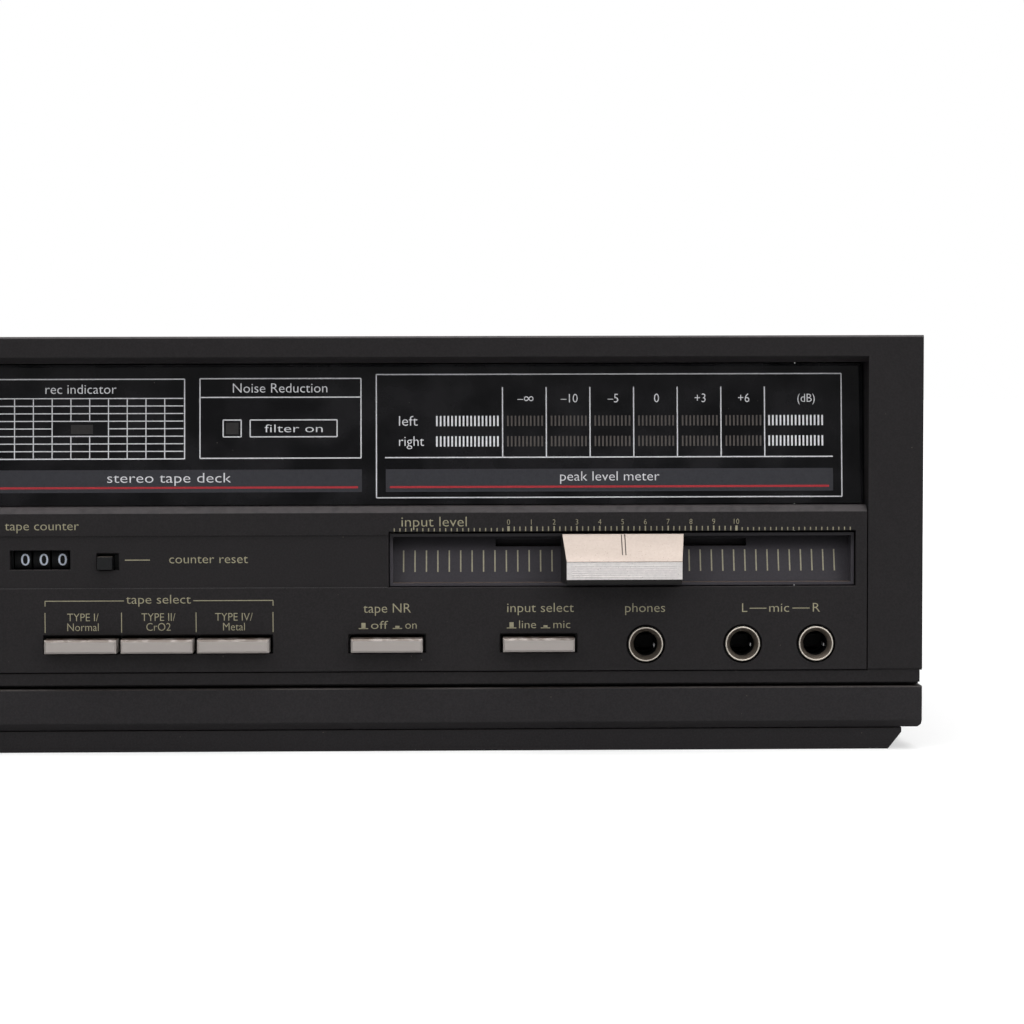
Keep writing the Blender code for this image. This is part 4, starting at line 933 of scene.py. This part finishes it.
def reset_button():
    """Narrow key low and left in its opening, with a wider foot behind the panel."""
    low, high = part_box("reset_button")
    mesh = bmesh.new()
    soft_block(mesh, (low.x, low.y, low.z), (high.x - 1.3 * mm, high.y, high.z - 0.5 * mm), 0.18 * mm)
    soft_block(mesh, (low.x, low.y + 5 * mm, low.z), (high.x, high.y, high.z), 0.18 * mm)
    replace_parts(piece("reset_key", mesh, "reset", "reset_button"), "reset_button")


def wheel_digits():
    """Ten raised numerals round each counter wheel; 0 faces the window."""
    for index, node in enumerate(wheels, 1):
        low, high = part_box(node)
        centre = (low + high) / 2
        radius = (high.z - low.z) / 2
        mesh = bmesh.new()
        for digit in range(10):
            turn = 2 * math.pi * digit / 10

            def on_wheel(x, z, out=0, turn=turn):
                angle = turn + z / radius
                reach = radius + out + 0.01 * mm
                return centre + Vector((x, -reach * math.cos(angle), reach * math.sin(angle)))

            letters(mesh, on_wheel, str(digit), 0.62 * mm, -1.55 * mm, 3.1 * mm, 2.3 * mm, "CENTER", 0.0)
        piece(f"wheel_digits_{index}", mesh, "digit_ink", node)


def screw_mesh(radius, height):
    """Domed head with a sunk cross, standing on z = 0 and pointing up."""
    mesh = bmesh.new()
    sides = 24
    arm, reach, depth = radius * 0.13, radius * 0.58, height * 0.55
    turns = [2 * math.pi * i / sides for i in range(sides)]
    loops = []
    for r, z in ((radius, 0), (radius, height * 0.5), (radius * 0.82, height)):
        loops.append([mesh.verts.new((r * math.cos(turn), r * math.sin(turn), z)) for turn in turns])
    for near, far in zip(loops, loops[1:]):
        for i in range(sides):
            mesh.faces.new((near[i], near[(i + 1) % sides], far[(i + 1) % sides], far[i]))
    mesh.faces.new(reversed(loops[0]))
    quarter = [(arm, arm), (arm, reach), (-arm, reach)]
    cross = []
    for turn in range(4):
        spin = Matrix.Rotation(turn * math.pi / 2, 2)
        cross += [spin @ Vector(point) for point in quarter]
    tops = [mesh.verts.new((*point, height)) for point in cross]
    floors = [mesh.verts.new((*point, height - depth)) for point in cross]
    count = len(cross)
    for i in range(count):
        mesh.faces.new((tops[i], tops[(i + 1) % count], floors[(i + 1) % count], floors[i]))
    mesh.faces.new(floors)
    rim = [mesh.edges.get((loops[-1][i], loops[-1][(i + 1) % sides])) for i in range(sides)]
    inner = [mesh.edges.get((tops[i], tops[(i + 1) % count])) for i in range(count)]
    bmesh.ops.triangle_fill(mesh, edges=rim + inner, use_beauty=True)
    bmesh.ops.recalc_face_normals(mesh, faces=mesh.faces)
    return mesh_data("screw", mesh)


def screws(name, places, outward, radius=2.7 * mm, height=1.1 * mm, material="steel", body="deck"):
    """Screw heads at the given places, all facing outward, as one piece."""
    data = screw_mesh(radius, height)
    aim = Vector((0, 0, 1)).rotation_difference(Vector(outward)).to_matrix().to_4x4()
    mesh = bmesh.new()
    for index, point in enumerate(places):
        start = len(mesh.verts)
        mesh.from_mesh(data)
        mesh.verts.ensure_lookup_table()
        spin = Matrix.Rotation(0.7 * index, 4, "Z")
        bmesh.ops.transform(mesh, matrix=Matrix.Translation(point) @ aim @ spin, verts=mesh.verts[start:])
    bpy.data.meshes.remove(data)
    piece(name, mesh, material, body)


def fasteners():
    cover_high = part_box("top_cover")[1]
    for side, name in ((-1, "left"), (1, "right")):
        x = side * cover_high.x
        places = [(x, -75 * mm, 30 * mm), (x, 92 * mm, 30 * mm)]
        screws(f"cover_screws_{name}", places, (side, 0, 0), 2.9 * mm, 0.9 * mm, "chassis_screw")
    rear_low, rear_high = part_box("rear_panel")
    inset = 8 * mm
    rear_places = [(x, rear_high.y, z) for x in (rear_low.x + inset, 0, rear_high.x - inset)
                   for z in (rear_low.z + 2 * inset, rear_high.z - inset)]
    screws("rear_screws", rear_places, (0, 1, 0), material="chassis_screw")
    socket_low, socket_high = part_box("rca_block")
    middle = (socket_low.z + socket_high.z) / 2
    ends = [(x, rear_high.y + 1.9 * mm, middle) for x in (socket_low.x + 2.6 * mm, socket_high.x - 2.6 * mm)]
    screws("socket_screws", ends, (0, 1, 0), 1.9 * mm, 0.9 * mm)
    base_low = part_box("bottom_chassis")[0]
    below = [(x * mm, y * mm, base_low.z) for x in (-150, -50, 60, 150) for y in (-80, 60)]
    screws("bottom_screws", below, (0, 0, -1), 2.6 * mm, 1.0 * mm)


shell_profile = [(4.22, -7.2), (4.22, -0.05), (3.35, -0.05), (3.35, -0.6), (4.18, -1.0), (4.18, -7.2)]
insert_profile = [(3.3, -0.45), (3.3, 0.0), (1.75, 0.0), (1.75, -0.45)]


def phono_fittings():
    """Metal shells, coloured inserts and legends of the four sockets at the rear."""
    low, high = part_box("rca_block")
    inner = high.x - low.x - 6 * mm
    middle = (low.z + high.z) / 2
    tip = high.y
    shells = bmesh.new()
    for index in range(4):
        x = (low.x + high.x) / 2 + inner * ((index + half) / 4 - half)
        lathe(shells, in_mm(shell_profile), (x, tip, middle))
        insert = bmesh.new()
        lathe(insert, in_mm(insert_profile), (x, tip - 0.02 * mm, middle))
        colour = "insert_red" if index % 2 else "insert_white"
        piece(f"socket_insert_{index + 1}", insert, colour, smooth=True)
    piece("socket_shells", shells, "nickel", smooth=True)
    mesh = bmesh.new()
    rear_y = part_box("rear_panel")[1].y

    def rear_point(x, z, out=0):
        return Vector((-x, rear_y + out, z))

    centre = -(low.x + high.x) / 2
    for offset, word in ((-inner / 4, "output"), (inner / 4, "input")):
        letters(mesh, rear_point, word, centre + offset, high.z + 3.5 * mm, 2.6 * mm, align="CENTER")
    for index in range(4):
        x = centre + inner * ((index + half) / 4 - half)
        letters(mesh, rear_point, "RL"[index % 2], x, low.z - 5.5 * mm, 2.4 * mm, align="CENTER")
    outlined(mesh, rear_point, centre - 27 * mm, centre + 27 * mm, low.z - 8 * mm, high.z + 9 * mm, 0.3 * mm)
    piece("rear_legends", mesh, "white_ink")


def key_icons():
    """Transport signs on the key fronts, each riding on its own key."""
    def triangle(x, z, size, side):
        return [(x - side * size, z - size), (x + side * size, z), (x - side * size, z + size)]

    for node in transport_keys:
        low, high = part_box(node)
        place = front_of(node)
        x = (low.x + high.x) / 2
        z = high.z - 4.6 * mm
        size = 1.45 * mm
        mesh = bmesh.new()
        if node == "record_key":
            turns = [2 * math.pi * i / 24 for i in range(24)]
            plate(mesh, place, [(x + size * math.cos(turn), z + size * math.sin(turn)) for turn in turns])
        elif node in ("rewind_key", "forward_key"):
            side = -1 if node == "rewind_key" else 1
            for shift in (-size, size):
                plate(mesh, place, triangle(x + shift, z, size, side)[::side])
        elif node == "play_key":
            plate(mesh, place, triangle(x, z, size, 1))
        elif node == "stop_key":
            strip(mesh, place, x - size, x + size, z - size, z + size)
        else:
            for shift in (-0.65 * size, 0.65 * size):
                strip(mesh, place, x + shift - 0.35 * size, x + shift + 0.35 * size, z - size, z + size)
        colour = "red_ink" if node == "record_key" else "white_ink"
        piece(f"{node}_icon", mesh, colour, node)


def spindle_fins():
    """Six drive fins on each reel spindle."""
    for node in spindles:
        low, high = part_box(node)
        x, z = (low.x + high.x) / 2, (low.z + high.z) / 2
        mesh = bmesh.new()
        for index in range(6):
            angle = math.pi * index / 3
            out = Vector((math.cos(angle), 0, math.sin(angle)))
            across = Vector((-math.sin(angle), 0, math.cos(angle))) * 0.45 * mm
            rows = [(low.y + 1.2 * mm, 2.3 * mm), (low.y + 8.4 * mm, 2.3 * mm), (low.y + 8.4 * mm, 4.6 * mm),
                    (low.y + 3.2 * mm, 4.6 * mm)]
            for_side = [[Vector((x, y, z)) + out * r + across * sign for y, r in rows] for sign in (-1, 1)]
            joined(mesh, *for_side)
        piece(f"{node}_fins", mesh, "pale_plastic", node)


def door_details():
    """Thin pale frame line round the lens, on the door."""
    lens_low, lens_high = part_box("door_window")
    place = front_of("cassette_door")
    mesh = bmesh.new()
    gap = 1.6 * mm
    outlined(mesh, place, lens_low.x - gap, lens_high.x + gap, lens_low.z - gap, lens_high.z + gap, 0.3 * mm)
    middle = (lens_low.x + lens_high.x) / 2
    letters(mesh, place, "cassette", middle, lens_high.z + 3.6 * mm, 2.2 * mm, align="CENTER")
    piece("door_print", mesh, "khaki_ink", "door")


def board_parts():
    """Capacitors and chips, with their legs, on the main board."""
    low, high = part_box("main_board")
    top = high.z
    cans = bmesh.new()
    for column in range(7):
        for row in range(3):
            radius = (2.5 + 1.3 * ((column * 3 + row * 5) % 3)) * mm
            tall = radius * 2.6
            centre = (low.x + (60 + 24 * column) * mm, low.y + (52 + 38 * row) * mm, top)
            shares = ((0, 0), (1, 0), (1, 0.86), (0.93, 0.9), (1, 0.94), (0.9, 1), (0, 1))
            lathe(cans, [(r * radius, level * tall) for r, level in shares], centre, "z", 24)
    piece("board_cans", cans, "can_sleeve", smooth=True)
    chips = bmesh.new()
    legs = bmesh.new()
    for index in range(5):
        x = low.x + (72 + 32 * index) * mm
        y = low.y + 70 * mm
        block(chips, (x - 9 * mm, y - 3.2 * mm, top + 0.8 * mm), (x + 9 * mm, y + 3.2 * mm, top + 4.2 * mm))
        for leg in range(8):
            for side in (-1, 1):
                lx = x + (leg - 3.5) * 2.2 * mm
                ly = y + side * 3.6 * mm
                low_corner = (lx - 0.25 * mm, ly - 0.35 * mm, top)
                block(legs, low_corner, (lx + 0.25 * mm, ly + 0.35 * mm, top + 2.4 * mm))
    piece("board_chips", chips, "plastic")
    piece("board_legs", legs, "steel")


# Stage, light and camera
def world():
    """White to the camera; to the object, brighter overhead than low down."""
    studio = bpy.data.worlds.new("studio")
    bpy.context.scene.world = studio
    studio.use_nodes = True
    tree = studio.node_tree
    tree.nodes.clear()
    direction = add_node(tree, "TexCoord").outputs["Generated"]
    height = add_node(tree, "SeparateXYZ", {0: direction}).outputs["Z"]
    levels = {"Value": height, "From Min": 0.0, "From Max": 0.8, "To Min": 0.10, "To Max": 0.75}
    grade = add_node(tree, "MapRange", levels).outputs[0]
    fill = add_node(tree, "Background", {"Color": white, "Strength": grade}).outputs[0]
    seen = add_node(tree, "Background", {"Color": white, "Strength": 1}).outputs[0]
    rays = add_node(tree, "LightPath").outputs["Is Camera Ray"]
    choose = add_node(tree, "MixShader", {0: rays, 1: fill, 2: seen}).outputs[0]
    add_node(tree, "OutputWorld", {"Surface": choose})


def floor_material():
    """White paper: to the camera nearly blown out, with a faint contact shadow; grey to other rays."""
    surface = Surface("floor", (0.45, 0.45, 0.45), 0.95, shine=0.0)
    surface.paint(surface.noise(0.4, 2.0), (0.43, 0.43, 0.43), (0.47, 0.47, 0.47))
    rays = surface.node("LightPath").outputs["Is Camera Ray"]
    distance = surface.node("VectorMath", {0: surface.place}, operation="LENGTH").outputs["Value"]
    glow = surface.remap(distance, 0.3, 0.9, 0.54, 1.0)
    surface.shader.inputs["Emission Color"].default_value = white
    surface.feed("Emission Strength", surface.both(glow, rays))
    return surface.material


def floor():
    mesh = bmesh.new()
    reach = 40.0
    corners = [(-reach, -reach), (reach, -reach), (reach, reach), (-reach, reach)]
    mesh.faces.new([mesh.verts.new((x, y, 0)) for x, y in corners])
    data = mesh_data("floor", mesh)
    data.materials.append(floor_material())
    add_object("floor", data)


def softbox(name, place, aim, size, energy):
    data = bpy.data.lights.new(name, "AREA")
    data.shape = "RECTANGLE"
    data.size, data.size_y = size
    data.energy = energy
    item = add_object(name, data)
    item.location = place
    item.rotation_euler = (Vector(aim) - Vector(place)).to_track_quat("-Z", "Y").to_euler()


def lights():
    softbox("top_light", (0.1, -0.22, 1.2), (0.1, -0.12, 0.0), (1.5, 0.8), 15.5)
    softbox("front_left_light", (-1.2, -1.5, 1.15), (0.05, -0.1, 0.06), (0.9, 0.9), 6)
    softbox("front_right_light", (1.4, -1.4, 1.1), (0.05, -0.1, 0.06), (0.9, 0.9), 10)


def camera():
    level = math.cos(camera_pitch)
    forward = Vector((math.sin(camera_yaw) * level, math.cos(camera_yaw) * level, -math.sin(camera_pitch)))
    right = Vector((math.cos(camera_yaw), -math.sin(camera_yaw), 0))
    up = right.cross(forward)
    c, s = math.cos(camera_roll), math.sin(camera_roll)
    columns = (c * right + s * up, c * up - s * right, -forward)
    turn = Matrix(columns).transposed().to_4x4()
    data = bpy.data.cameras.new("camera")
    data.sensor_width = sensor_width
    data.lens = focal_pixels * sensor_width / photo_width
    item = add_object("camera", data)
    item.matrix_world = Matrix.Translation(camera_place) @ turn
    bpy.context.scene.camera = item


paint_nodes()
meter_print()
meter_bars()
window_bands()
noise_box_print()
recording_grid()
level_scale()
panel_legends()
tray_marks()
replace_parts(knob(), "slider_knob")
for jack_node in jack_nodes:
    jack(jack_node)
reset_button()
wheel_digits()
fasteners()
phono_fittings()
key_icons()
spindle_fins()
door_details()
board_parts()
world()
floor()
lights()
camera()
bpy.context.scene.view_settings.view_transform = "Standard"
